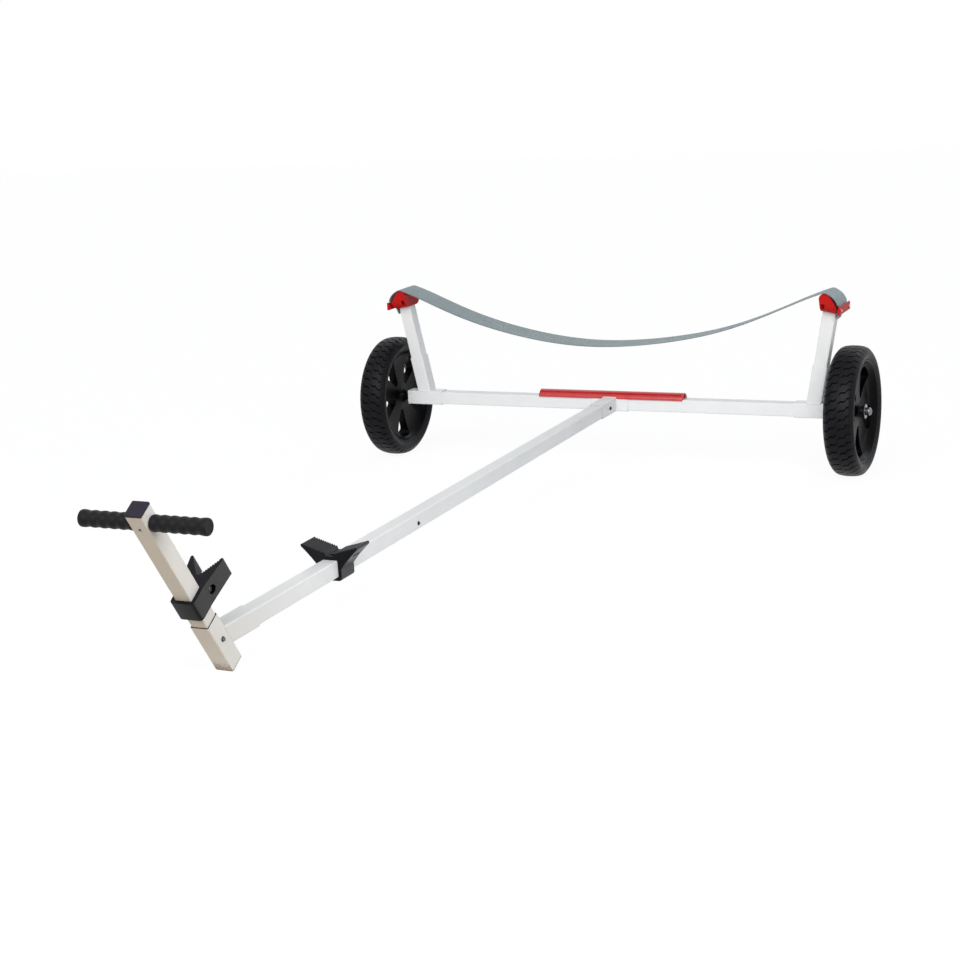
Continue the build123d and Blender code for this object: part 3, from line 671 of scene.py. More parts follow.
# %% [markdown]
# ## The front elbow and its foot
# The post's socket runs on below the drawbar and is the trolley's front foot.  Being set down on
# hard ground has rounded one of its lower corners, which a Boolean cutter takes off both the socket
# and its plug.  The black plug closes the end and shows as a thin dark line.
# %% Front elbow
POST_SOCKET_TOP, FOOT_DROP, FRONT_SOCKET_LENGTH = 55.0, 83.9, 142.0
FOOT_ROUND, SOLE = 7.0, 1.4
lean_tan, lean_cos = tan(POST_LEAN), cos(POST_LEAN)
corner_arc = arc((0, 0), FOOT_ROUND, 180, 270, 6)
worn_corner = [(x + FOOT_ROUND - SLEEVE / 2, y + FOOT_ROUND - FOOT_DROP) for x, y in corner_arc]
worn_corner += [(FOOT_ROUND - SLEEVE / 2, -FOOT_DROP - 5), (-SLEEVE / 2 - 5, -FOOT_DROP - 5),
                (-SLEEVE / 2 - 5, FOOT_ROUND - FOOT_DROP)]
foot_front = plane(post_section(0).translation, SIDEWAYS, -post_back)
foot_cut = (pushed(worn_corner, -SLEEVE, SLEEVE), foot_front)

branch_cut = (-(SLEEVE / 2) / lean_cos, 0.0, lean_tan)
# the weld is ground flush on the two flat sides, so there the bead lies inside the wall
hidden_sides = [(x * 0.92, y) for x, y in weld_outline]
INTO_WALL = 2.3         # how far the branch reaches past the weld, into the post socket's wall
buried_cut = (branch_cut[0] + INTO_WALL, 0.0, branch_cut[2])
piece("front_socket", [
    (sleeve_length(-FOOT_DROP + SOLE, POST_SOCKET_TOP), post_section(0)),
    (sleeve_length(-FRONT_SOCKET_LENGTH, buried_cut), along(DRAWBAR_LENGTH)),
    (bead_shape(hidden_sides, branch_cut, BEAD), along(DRAWBAR_LENGTH)),
], powder_coat, "white_tube", ["front_elbow"], cuts=[foot_cut])

# a thin black ring at the socket's lip is painted shade: it stands in for the shadow in the gap round the
# post
gap_shade_levels = [(TUBE / 2 + 0.05, POST_SOCKET_TOP - 1.5), (SLEEVE / 2 - 0.9, POST_SOCKET_TOP - 0.5),
         (SLEEVE / 2 - 0.7, POST_SOCKET_TOP + 0.5), (TUBE / 2 + 0.05, POST_SOCKET_TOP + 0.8)]
gap_shade_rings = [at_height(square_outline(half, TUBE_RADIUS), z) for half, z in gap_shade_levels]
piece("socket_liner", [(skin(gap_shade_rings, loop=True), post_section(0))], chock_plastic, "black_moulding")

# %% Foot plug
PLUG_LENGTH = 25.0
plug_outline = square_outline(SLEEVE / 2 - WALL, 1.8)
sole_outline = square_outline(SLEEVE / 2 - 0.3, SLEEVE_RADIUS)
plug_levels = [(sole_outline, 0.0), (sole_outline, SOLE), (plug_outline, SOLE), (plug_outline, PLUG_LENGTH)]
plug_rings = [at_height(outline, level - FOOT_DROP) for outline, level in plug_levels]
piece("foot_end_plug", [(skin(plug_rings), post_section(0))], chock_plastic, "black_moulding",
      ["foot_plug"], cuts=[foot_cut])

# %% [markdown]
# ## The handle post
# The post stands in the front socket and leans over the bow.  A moulded cap closes its top: a
# spigot goes into the tube, and only a 5 mm slab with eased edges shows.  A small screw through
# the front face holds the grip bar.
# %% Post and cap
POST_START, POST_TOP, BAR_HEIGHT = -45.0, 391.0, 356.0
CAP_LIP = 5.0
piece("steering_post", [(tube_length(POST_START, POST_TOP), post_section(0))], powder_coat,
      "white_tube", ["handle_post"])
cap_rings = [(TUBE / 2 - WALL, -18.0), (TUBE / 2 - WALL, 0.0), (TUBE / 2 + 0.1, 0.0), (TUBE / 2 + 0.5, 0.4),
             (TUBE / 2 + 0.5, 3.4), (TUBE / 2 + 0.1, 4.4), (TUBE / 2 - 0.9, CAP_LIP), (TUBE / 2 - 6, CAP_LIP)]
cap_skin = skin([at_height(square_outline(half, 3.0), z) for half, z in cap_rings])
piece("post_end_cap", [(cap_skin, post_section(POST_TOP))], cap_plastic, "black_moulding", ["post_cap"],
      sharp=50)

# %% [markdown]
# ## Hand grips
# A bare metal bar goes through the post, and a soft grip is pushed on each end.  The grips are turned
# shapes with shallow finger waves, and their ends are domed with a flat disc.  They are spun
# from a profile: the waves are one cosine along the length.
# %% Hand grips
GRIP_RADIUS, GRIP_END, WAVES = 18.0, 151.0, 5
GRIP_BORE = 12.5
WAVE_DEPTH = 1.5


def grip_profile():
    start = TUBE / 2 + 0.3
    profile = [(start, GRIP_BORE), (start, GRIP_RADIUS - 2.6), (start + 0.6, GRIP_RADIUS - 1.6)]
    run_start, run_end = start + 5.0, GRIP_END - 11.0
    steps = 90
    for step in range(steps + 1):
        share = step / steps
        wave = 0.5 - 0.5 * cos(2 * pi * WAVES * share)
        profile.append((run_start + (run_end - run_start) * share, GRIP_RADIUS - WAVE_DEPTH * wave - 0.2))
    # the domed end: how far in from the tip, and how far below the full radius
    dome = [(10.5, 0.0), (4.5, 0.0), (2.2, 0.7), (0.8, 2.4), (0.2, 4.2), (0.9, 5.2)]
    profile += [(GRIP_END - inset, GRIP_RADIUS - below) for inset, below in dome]
    disc = [(0.9, 3.0), (0.9, 0.2), (3.5, 0.2), (3.5, GRIP_BORE)]
    return profile + [(GRIP_END - inset, radius) for inset, radius in disc]


bar_placement = plane(post_section(BAR_HEIGHT).translation, post_up, SIDEWAYS)
grip_right = piece("grip_right", [(turned(grip_profile(), 56, loop=True), bar_placement)], grip_rubber,
                   "grip_rubber", ["grips"], sharp=50)
mirror_piece(grip_right, ["grips"])

# %% [markdown]
# ## Toothed V chocks
# Two black mouldings carry the bow.  Each is one profile pushed along its tube: a collar round
# the tube and two jaws that open in a V, with a row of teeth on each.  The teeth are part of the
# profile, so every one is real geometry.  The bow chock is hollowed along its lower edge, and
# its clamping bolt sits in a round pocket.
# %% Jaws and teeth
TOOTH_PITCH, TOOTH_DEPTH, TOOTH_HALF = 6.0, 2.8, 2.4     # the last is half a notch's width
CHOCK_HALF = 29.0


def toothed_jaw(tip, valley, count):
    """Points along a jaw from its tip to the valley, with a notch between each two teeth."""
    tip, valley = Vector(tip), Vector(valley)
    way = (valley - tip).normalized()
    inward = Vector((-way.y, way.x))
    inward = inward if inward.y < 0 else -inward
    first = ((valley - tip).length - TOOTH_PITCH * (count - 1)) / 2
    jaw = []
    for n in range(count):
        middle = tip + way * (first + TOOTH_PITCH * n)
        for point, soft in ((middle - way * TOOTH_HALF, 0.6), (middle + inward * TOOTH_DEPTH, 0.4),
                            (middle + way * TOOTH_HALF, 0.6)):
            jaw.append((point.x, point.y, soft))
    return jaw


def both_sides(half_outline):
    """Close a profile with its mirror image in x."""
    return half_outline + [(-point[0],) + tuple(point[1:]) for point in reversed(half_outline)]


def bolt_head(across_flats, thickness, socket=True):
    """A cap screw's head: a chamfered disc, with a hexagonal socket in its face."""
    radius = across_flats / 2
    outside = [(0.0, radius), (thickness - 0.5, radius), (thickness, radius - 0.5)]
    if not socket:
        dome = [(thickness + 0.25 * radius, radius * 0.55), (thickness + 0.32 * radius, 0.1)]
        return turned(outside + dome, 32)
    steps, key = 36, radius * 0.5
    shape = [circle(r, z, steps) for z, r in outside]
    hexagon = []
    for k in range(steps):
        a = 2 * pi * k / steps
        reach = key * cos(pi / 6) / cos((a % (pi / 3)) - pi / 6)
        hexagon.append((reach * cos(a), reach * sin(a)))
    shape.append(at_height(hexagon, thickness))
    shape.append([(x * 0.98, y * 0.98, thickness * 0.45) for x, y in hexagon])
    return skin(shape)


print("teeth every", TOOTH_PITCH, "mm")

# %% Bow chock
BOW_AT, BOW_HEIGHT, BOW_TEETH = 91.0, 51.0, 8
BOW_TIP, BOW_VALLEY, BOW_TIP_WIDTH = (34.0, 97.0), (3.0, 50.0), 6.5
BOLT_BACK, POCKET_RADIUS, POCKET_DEPTH = 35.5, 10.5, 6.0

bow_half = [(CHOCK_HALF, -CHOCK_HALF, 8.0), (CHOCK_HALF + 0.5, TUBE / 2, 12.0),
            (BOW_TIP[0] + BOW_TIP_WIDTH, BOW_TIP[1] + 1.0, 3.0), (BOW_TIP[0] + 0.4, BOW_TIP[1] + 1.5, 2.6)]
bow_half += toothed_jaw(BOW_TIP, BOW_VALLEY, BOW_TEETH) + [(BOW_VALLEY[0], BOW_VALLEY[1], 1.0)]
bow_outline = rounded(both_sides(bow_half), steps=4)


TIP_RISE, HOLLOW_RISE = 4.0, 7.0      # how far the lower edge rises at the tips, and extra halfway


def hollowed_edge(x, y):
    """The lower edge: level round the post, then an arc that rises behind it."""
    start, end = TUBE / 2 + 2, BOW_TIP[1] + 2
    if y <= start:
        return BOW_AT
    share = (y - start) / (end - start)
    return BOW_AT + TIP_RISE * share + 4 * HOLLOW_RISE * share * (1 - share)


HOLE_ROOM, HOLE_CORNER, CUTTER_OVERRUN = 0.4, 2.5, 20.0
hole_outline = square_outline(TUBE / 2 + HOLE_ROOM, HOLE_CORNER)
post_hole = (pushed(hole_outline, BOW_AT - CUTTER_OVERRUN, BOW_AT + BOW_HEIGHT + CUTTER_OVERRUN),
             post_section(0))
bolt_middle = BOW_AT + BOW_HEIGHT / 2


def post_side(side, height, back):
    """A plane on the post's side: z points outward."""
    offset = post_up * height + post_back * back + SIDEWAYS * side
    origin = chassis_point(ahead=DRAWBAR_LENGTH) + offset * MM
    return plane(origin, post_back, SIDEWAYS if side > 0 else -SIDEWAYS)


pockets = [(turned([(-POCKET_DEPTH, POCKET_RADIUS), (8.0, POCKET_RADIUS)], 40),
            post_side(side * CHOCK_HALF, bolt_middle, BOLT_BACK)) for side in (1, -1)]
piece("bow_vee", [(pushed(bow_outline, hollowed_edge, BOW_AT + BOW_HEIGHT), post_section(0))], chock_plastic,
      "black_moulding", ["bow_chock"], edge=0.9, cuts=[post_hole] + pockets)
BOLT_SEAT = CHOCK_HALF - POCKET_DEPTH - 0.5
piece("bow_vee_bolts", [(bolt_head(9.0, 5.0), post_side(side * BOLT_SEAT, bolt_middle, BOLT_BACK))
                        for side in (1, -1)], bolt_steel, "steel")

# %% Keel chock
KEEL_AT, KEEL_LENGTH, KEEL_TEETH = 1737.0, 60.0, 10
KEEL_TIP, KEEL_VALLEY, KEEL_TIP_WIDTH, KEEL_FLOOR = (70.8, 55.2), (12.0, 37.6), 7.0, 29.5
wing_middle = (47.0, 21.5)


def three_point_arc(start, middle, end, steps=14):
    """Points on the arc through three points, without its start."""
    (ax, ay), (bx, by), (cx, cy) = start, middle, end
    d = 2 * (ax * (by - cy) + bx * (cy - ay) + cx * (ay - by))
    a2, b2, c2 = ax * ax + ay * ay, bx * bx + by * by, cx * cx + cy * cy
    ux = (a2 * (by - cy) + b2 * (cy - ay) + c2 * (ay - by)) / d
    uy = (a2 * (cx - bx) + b2 * (ax - cx) + c2 * (bx - ax)) / d
    radius = hypot(ax - ux, ay - uy)
    first, last = atan2(ay - uy, ax - ux), atan2(cy - uy, cx - ux)
    through = atan2(by - uy, bx - ux)
    span = (last - first) % (2 * pi)
    if (through - first) % (2 * pi) > span:
        span -= 2 * pi
    return [(ux + radius * cos(first + span * k / steps), uy + radius * sin(first + span * k / steps))
            for k in range(1, steps + 1)]


keel_half = [(CHOCK_HALF, -CHOCK_HALF, 8.0), (CHOCK_HALF, 0.0)]
tip_x, tip_y = KEEL_TIP
keel_half += three_point_arc((CHOCK_HALF, 0.0), wing_middle, (tip_x + 3, tip_y - KEEL_TIP_WIDTH))[:-1]
keel_half += [(tip_x + 3.6, tip_y - KEEL_TIP_WIDTH + 0.6, 2.0), (tip_x + 4.5, tip_y - 2.0, 1.5),
              (tip_x + 1.0, tip_y + 0.2, 2.0)]
keel_half += toothed_jaw(KEEL_TIP, KEEL_VALLEY, KEEL_TEETH)
keel_half += [KEEL_VALLEY + (1.0,), (KEEL_VALLEY[0] - 3, KEEL_FLOOR, 1.0)]
keel_outline = rounded(both_sides(keel_half), steps=4)
keel_middle = KEEL_AT + KEEL_LENGTH / 2
SLOT_TILT, SLOT_SIDE, SLOT_ABOVE = radians(40), 55, 28
SLOT_HALF, SLOT_HALF_WIDTH, SLOT_ROUND = 15, 3.5, 3.0


def wing_slot(side):
    """A cored slot in the underside of a wing."""
    outward = SIDEWAYS * side * sin(SLOT_TILT) - chassis_up * cos(SLOT_TILT)
    here = plane(chassis_point(side * SLOT_SIDE, keel_middle, SLOT_ABOVE), forward, outward)
    corners = [(x * SLOT_HALF, y * SLOT_HALF_WIDTH) for x, y in ((1, 1), (-1, 1), (-1, -1), (1, -1))]
    return (pushed(rounded(corners, SLOT_ROUND), -6, 8), here)


drawbar_hole = (pushed(hole_outline, -CUTTER_OVERRUN, KEEL_LENGTH + CUTTER_OVERRUN), along(KEEL_AT))
piece("keel_vee", [(pushed(keel_outline, 0, KEEL_LENGTH), along(KEEL_AT))], chock_plastic, "black_moulding",
      ["keel_chock"], edge=0.9, cuts=[drawbar_hole, wing_slot(1), wing_slot(-1)])
valley_top = plane(chassis_point(0, keel_middle + 15, KEEL_FLOOR), SIDEWAYS, chassis_up)
piece("keel_vee_screw", [(bolt_head(8.0, 3.0), valley_top)], dark_bolt, "steel")

# %% [markdown]
# ## Red pad on the axle
# A half-round red moulding lies along the axle and keeps the hull off the metal.  It is an open
# arch on two thin legs: its right end shows the dark hollow inside.  It clears the sleeve of the
# rear tee in the middle, so that part is cut away from below.
# %% Axle pad
PAD_HALF, PAD_HEIGHT, PAD_RADIUS, PAD_WALL = 242.0, 13.6, 24.8, 3.0
PAD_LEG_AT = 9.0
LIP_ANGLE = 9.85


def pad_outline():
    leg_out, leg_in = PAD_LEG_AT + PAD_WALL / 2, PAD_LEG_AT - PAD_WALL / 2
    bore = PAD_RADIUS - PAD_WALL
    outer = arc((0, PAD_HEIGHT), PAD_RADIUS, LIP_ANGLE, 180 - LIP_ANGLE, 28)
    out_angle, in_angle = degrees(pi / 2 - leg_out / bore * 1.03), degrees(pi / 2 - leg_in / bore * 1.01)
    inner = arc((0, PAD_HEIGHT), bore, 180 - LIP_ANGLE, 180 - out_angle, 8)
    inner += [(-leg_out, TUBE / 2), (-leg_in, TUBE / 2)]
    inner += arc((0, PAD_HEIGHT), bore, 180 - in_angle, in_angle, 8)
    inner += [(leg_in, TUBE / 2), (leg_out, TUBE / 2)]
    return outer + inner + arc((0, PAD_HEIGHT), bore, out_angle, LIP_ANGLE, 8)


SLEEVE_ROOM = SLEEVE / 2 + 0.3
PAST_LEGS, PAST_ARCH = 12, 40             # half depths that clear the legs, and the whole arch


def sleeve_cutter(half_depth, half_length):
    corners = [(x * half_depth, y * SLEEVE_ROOM) for x, y in ((1, 1), (-1, 1), (-1, -1), (1, -1))]
    return (pushed(corners, -half_length, half_length), across(0))


piece("axle_cushion", [(pushed(pad_outline(), -PAD_HALF, PAD_HALF), across(0))], red_plastic, "red_plastic",
      ["axle_pad"], edge=0.7,
      cuts=[sleeve_cutter(PAST_LEGS, CENTRE_SLEEVE_HALF), sleeve_cutter(PAST_ARCH, SLEEVE / 2 + 1)])

# %% [markdown]
# ## Brackets and uprights
# A 45 mm sleeve slides on each end of the axle, with a leaning socket welded on it.  The upright
# stands in that socket.  Only the right-hand ones are drawn, and the left-hand ones are mirrored.
# %% Brackets and uprights
BRACKET_INNER, BRACKET_OUTER = 594.0, 719.0
UPRIGHT_START, UPRIGHT_SOCKET_TOP = 30.0, 139.0
leaning_cut = (SLEEVE / 2 / cos(UPRIGHT_LEAN), tan(UPRIGHT_LEAN), 0.0)
bracket_right = piece("bracket_right", [
    (sleeve_length(BRACKET_INNER, BRACKET_OUTER), across(0)),
    (sleeve_length((leaning_cut[0] - 1, leaning_cut[1], 0.0), UPRIGHT_SOCKET_TOP), upright_section(0)),
    (bead_shape(weld_outline, leaning_cut, BEAD), upright_section(0)),
], powder_coat, "white_tube", ["axle_bracket_right"])
mirror_piece(bracket_right, ["axle_bracket_left"])
post_right = piece("sling_post_right", [(tube_length(UPRIGHT_START, UPRIGHT_TOP), upright_section(0))],
                   powder_coat, "white_tube", ["upright_right"])
mirror_piece(post_right, ["upright_left"])

# %% [markdown]
# ## Sling caps and clamps
# A red moulding plugs into each upright.  Its top is a roll that the webbing turns over, then a
# saddle that falls outward to a shoulder, where a red bar clamps the webbing down.  The cap is a
# profile pushed along the roll, with a pocket cored into each end.
# %% Caps and clamps
CAP_DEPTH, CLAMP_LENGTH = 108.0, 122.0
ROLL, ROLL_RADIUS, SHOULDER = (-12.5, 40.5), 17.5, 35.0
SLOPE_MIDDLE, SLOPE_END, CAP_FOOT_HALF = (12.0, 39.0), (25.5, 22.0), 22.0
FLARE_FOOT_HALF, FLARE_HEIGHT = 27.0, 36.0


def roll_point(angle, lift=0.0):
    reach = ROLL_RADIUS + lift
    return (ROLL[0] + reach * cos(radians(angle)), ROLL[1] + reach * sin(radians(angle)))


cap_outline = [(CAP_FOOT_HALF, 0.0), (-CAP_FOOT_HALF, 0.0)]
cap_outline += [roll_point(angle) for angle in range(210, int(SHOULDER) - 1, -5)]
cap_outline += three_point_arc(roll_point(SHOULDER), SLOPE_MIDDLE, SLOPE_END, 12)

# seen from outside, both lower corners are swept in to the tube
sweep = CAP_DEPTH / 2 - FLARE_FOOT_HALF
flare = [(CAP_DEPTH / 2 - sweep * (1 - sin(radians(a))), FLARE_HEIGHT * (1 - cos(radians(a))))
         for a in range(0, 91, 9)]
flare += [(CAP_DEPTH / 2 + 8, FLARE_HEIGHT), (CAP_DEPTH / 2 + 8, -4), (FLARE_FOOT_HALF, -4)]
flare_side = plane(upright_side().translation, forward, -upright_out)
PAST_CAP, POCKET_INTO_END = 50, 20
cap_cuts = [(pushed([(end * x, y) for x, y in flare], -PAST_CAP, PAST_CAP), flare_side) for end in (1, -1)]
end_pocket = rounded([(-10, 9), (-10, 25), (-20, 25), (-20, 9)], 1.2)
cap_cuts += [(pushed(end_pocket, -POCKET_INTO_END, POCKET_INTO_END), upright_side(end * CAP_DEPTH / 2))
             for end in (1, -1)]
cap_right = piece("cap_right", [
    (pushed(cap_outline, -CAP_DEPTH / 2, CAP_DEPTH / 2), upright_side()),
], red_satin, "red_plastic", ["sling_cap_right"], edge=1.4, cuts=cap_cuts)
mirror_piece(cap_right, ["sling_cap_left"])
BORE_FIT = 0.1
bore_outline = square_outline(TUBE / 2 - WALL - BORE_FIT, 1.5)
spigot = pushed(bore_outline, -PLUG_LENGTH, 1.0)
spigot_right = piece("cap_spigot_right", [(spigot, upright_section(UPRIGHT_TOP))], red_plastic, "red_plastic")
mirror_piece(spigot_right)

FACE_FOOT, FACE_TOP = (42.2, 3.8), (37.4, 27.9)      # the clamp's outer face, in the side view
SCREW_AT, SCREW_AHEAD = (39.8, 15.8), 44             # its screws, in the side view and along it
clamp_outline = rounded([(33.6, 27.3, 1.2), (31.8, 5.0, 0.8), (33.4, 3.4, 0.8), FACE_FOOT + (1.5,),
                         FACE_TOP + (1.2,)], steps=4)
clamp_bar = pushed(clamp_outline, -CLAMP_LENGTH / 2, CLAMP_LENGTH / 2)
clamp_right = piece("clamp_right", [(clamp_bar, upright_side())], red_satin, "red_plastic",
                    ["sling_clamp_right"], edge=1.2)
mirror_piece(clamp_right, ["sling_clamp_left"])


def clamp_screw(ahead):
    """Placement of a screw on the clamp's outer face, which stands nearly square to the ground."""
    lean_of_face = atan2(FACE_FOOT[0] - FACE_TOP[0], FACE_TOP[1] - FACE_FOOT[1])
    out = upright_out * cos(lean_of_face) + upright_up * sin(lean_of_face)
    at = upright_side(ahead) @ Vector((SCREW_AT[0] * MM, SCREW_AT[1] * MM, 0))
    return plane(at, forward, out)


screws = [(bolt_head(8.0, 2.6), clamp_screw(end * SCREW_AHEAD)) for end in (-1, 1)]
screws_right = piece("clamp_screws_right", screws, bright_steel, "steel")
mirror_piece(screws_right)

# %% [markdown]
# ## The webbing sling
# The hull lies in one band of woven polyester webbing, about 110 mm wide.  It hangs between the
# caps, turns over each roll, goes down between cap and clamp, and ends in a short tail.  The
# band is modelled directly as a strip that follows that path, because webbing this stiff keeps
# its width and its curve can be written down.  Its weave needs a flat map, so the strip carries
# its own coordinates in metres: across, and along.
# %% The sling's path
SLING_WIDTH, SLING_THICKNESS, SLING_AHEAD = 110.0, 2.4, 4.7
SLING_LOW, PULLED = 191.6, 0.7
ARRIVAL, LEAVING = 120, 62
FALL_MIDDLE, FALL_END, CLAMPED, TAIL_END = (15.5, 47.5), (31.4, 26.5), (29.0, 3.0), (25.2, -18.0)
TAIL_WIDTH, TAIL_AHEAD = 52.0, -4.0


def head_point(out, up):
    """A point of the right upright's head, as (side, above) from the axle's centre."""
    side = UPRIGHT_X + (UPRIGHT_TOP + up) * sin(UPRIGHT_LEAN) + out * cos(UPRIGHT_LEAN)
    return side, (UPRIGHT_TOP + up) * cos(UPRIGHT_LEAN) - out * sin(UPRIGHT_LEAN)


LIFT = SLING_THICKNESS / 2 + 0.25
touch = head_point(*roll_point(ARRIVAL, LIFT))


def hang(side):
    """Height of the hanging part: a parabola whose ends are pulled nearly straight."""
    share = side / touch[0]
    return SLING_LOW + (touch[1] - SLING_LOW) * share ** 2 * (1 + PULLED * share ** 4 * (1 - share))


HANG_STEPS, ROLL_STEPS, FALL_STEPS, TAIL_STEPS = 90, 20, 16, 6
half_path = [(touch[0] * k / HANG_STEPS, hang(touch[0] * k / HANG_STEPS)) for k in range(HANG_STEPS)]
for k in range(ROLL_STEPS + 1):
    half_path.append(head_point(*roll_point(ARRIVAL - (ARRIVAL - LEAVING) * k / ROLL_STEPS, LIFT)))
fall = three_point_arc(roll_point(LEAVING, LIFT), FALL_MIDDLE, FALL_END, FALL_STEPS)
half_path += [head_point(*p) for p in fall]
for start, end in ((FALL_END, CLAMPED), (CLAMPED, TAIL_END)):
    start, end = Vector(start), Vector(end)
    half_path += [head_point(*start.lerp(end, k / TAIL_STEPS)) for k in range(1, TAIL_STEPS + 1)]
sling_path = [(-x, n) for x, n in reversed(half_path[1:])] + half_path
lengths = [0.0]
for before, here in zip(sling_path, sling_path[1:]):
    lengths.append(lengths[-1] + hypot(here[0] - before[0], here[1] - before[1]))
print(f"the sling is {lengths[-1]:.0f} mm long")

# %% The sling's mesh
ACROSS = 22
TAIL_ROWS, NARROWING_ROWS = 14, 6         # rows of the mesh from an end, and how many it narrows over
HELD_ROWS, LOOSE_ROWS = 46, 12            # the part on the cap is held, and further in it is free
SLOW_WAVE, CURL = 0.16, 0.9               # heights of the waviness, and of the curl at the edges
random.seed(7)
waves = []            # (rate along the band, phase, lean across it)
for _ in range(5):
    waves.append((random.uniform(0.004, 0.011), random.uniform(0, 2 * pi), random.uniform(-0.9, 0.9)))


def sling_ripple(travel, share):
    """Slight waviness of the webbing's surface, in millimetres; share is -1 to 1 across it."""
    slow = sum(sin(rate * travel + phase + lean * share) for rate, phase, lean in waves) * SLOW_WAVE
    curl = CURL * abs(share) ** 4 * sin(travel * 0.013 + 1.0)
    return slow + curl


mesh = bpy.data.meshes.new("sling_band")
points, faces, flat_map = [], [], []
rows = len(sling_path)
for face_side in (1, -1):
    for i, (side, above) in enumerate(sling_path):
        before, after = sling_path[max(0, i - 1)], sling_path[min(rows - 1, i + 1)]
        run = Vector((after[0] - before[0], after[1] - before[1])).normalized()
        out = Vector((-run.y, run.x))
        from_end = min(i, rows - 1 - i)
        share_in = min(1.0, max(0.0, (TAIL_ROWS - from_end) / NARROWING_ROWS))
        width = SLING_WIDTH + (TAIL_WIDTH - SLING_WIDTH) * share_in
        middle = SLING_AHEAD + (TAIL_AHEAD - SLING_AHEAD) * share_in
        free = min(1.0, max(0.0, (from_end - HELD_ROWS) / LOOSE_ROWS))
        for k in range(ACROSS + 1):
            share = 2 * k / ACROSS - 1
            edge_thin = 1 - 0.45 * abs(share) ** 10
            lift = face_side * SLING_THICKNESS / 2 * edge_thin + free * sling_ripple(lengths[i], share)
            ahead = middle + share * width / 2
            points.append(chassis_point(side + out.x * lift, ahead, above + out.y * lift))
            flat_map.append((share * width / 2 * MM, lengths[i] * MM))
stride = ACROSS + 1
back = rows * stride
for i in range(rows - 1):
    for k in range(ACROSS):
        a = i * stride + k
        faces.append((a, a + 1, a + stride + 1, a + stride))
        faces.append((back + a, back + a + stride, back + a + stride + 1, back + a + 1))
    for k in (0, ACROSS):
        a = i * stride + k
        faces.append((a, a + stride, back + a + stride, back + a) if k == 0 else
                     (a, back + a, back + a + stride, a + stride))
for i in (0, rows - 1):
    for k in range(ACROSS):
        a = i * stride + k
        faces.append((a, back + a, back + a + 1, a + 1) if i == 0 else (a, a + 1, back + a + 1, back + a))
mesh.from_pydata(points, [], faces)
layer = mesh.uv_layers.new(name="flat_webbing")
for loop in mesh.loops:
    layer.data[loop.index].uv = flat_map[loop.vertex_index]
turn_faces_out(mesh)
mesh.shade_smooth()
mesh.set_sharp_from_angle(angle=radians(60))
sling = bpy.data.objects.new("sling_band", mesh)
scene.collection.objects.link(sling)
print("sling_band:", len(mesh.polygons), "faces")

# %% [markdown]
# ### Webbing material
# Heavy webbing is a plain weave whose warp cords run along the band, so it shows narrow ribs
# along its length, each broken into short stitches, and a darker selvedge at both edges.  The
# weave is built from the strip's flat coordinates, with two waves multiplied together.
# The gaps between the cords are painted darker as well: painted shade in the weave's hollows.
# %% Webbing finish
RIB, PICK = 0.0022, 0.0016

weave_effect, given, result = new_effect(
    "woven ribs",
    [("Across", "Float", 0.0), ("Along", "Float", 0.0), ("Rib", "Float", RIB), ("Pick", "Float", PICK)],
    [("Height", "Float"), ("Gap", "Float")])
tree = weave_effect
rib_turn = calc(tree, "DIVIDE", given["Across"], given["Rib"])
pick_turn = calc(tree, "DIVIDE", given["Along"], given["Pick"])
odd_rib = calc(tree, "MULTIPLY", calc(tree, "FLOOR", rib_turn), 0.5)
rib = calc(tree, "ABSOLUTE", calc(tree, "SINE", calc(tree, "MULTIPLY", rib_turn, pi)))
shifted = calc(tree, "ADD", pick_turn, odd_rib)
pick = calc(tree, "ABSOLUTE", calc(tree, "SINE", calc(tree, "MULTIPLY", shifted, pi)))
pick_height = calc(tree, "ADD", calc(tree, "MULTIPLY", pick, 0.45), 0.55)
height = calc(tree, "MULTIPLY", calc(tree, "POWER", rib, 0.6), pick_height)
tree.links.new(height, result["Height"])
tree.links.new(ramp(tree, height, 0.42, 0.12), result["Gap"])

webbing, tree, shader = new_finish("woven polyester webbing", Sheen_Weight=0.25, Sheen_Roughness=0.4)
flat = add_node(tree, "UVMap", {"uv_map": "flat_webbing"}).outputs["UV"]
parts = add_node(tree, "SeparateXYZ", Vector=flat)
weave = use_effect(tree, weave_effect, Across=parts.outputs["X"], Along=parts.outputs["Y"])
cloud = use_effect(tree, patches_effect, Size=0.06, Contrast=0.7)["Mask"]
from_middle = calc(tree, "ABSOLUTE", parts.outputs["X"])
selvedge = ramp(tree, from_middle, SLING_WIDTH / 2 * MM - 0.006, SLING_WIDTH / 2 * MM - 0.004)
polyester = blend_colours(tree, cloud, (0.200, 0.268, 0.284, 1), (0.232, 0.298, 0.312, 1))
bordered = blend_colours(tree, calc(tree, "MULTIPLY", selvedge, 0.35), polyester, (0.13, 0.17, 0.18, 1))
# painted shade: the gaps between the cords are painted darker, for the shade that falls into them
with_gap_shade = blend_colours(tree, calc(tree, "MULTIPLY", weave["Gap"], 0.6), bordered, (0.075, 0.10, 0.108, 1))
rough = calc(tree, "ADD", calc(tree, "MULTIPLY", weave["Gap"], 0.25), 0.55)
bump = add_node(tree, "Bump", Strength=0.6, Distance=0.0006, Height=weave["Height"])
feed(tree, shader, Base_Color=with_gap_shade, Roughness=rough, Normal=bump.outputs["Normal"])
mesh.materials.append(webbing)
ride_and_stand(sling, "chassis", "webbing", ["sling"])
print("webbing laid flat:", SLING_WIDTH, "by", round(lengths[-1]), "mm")

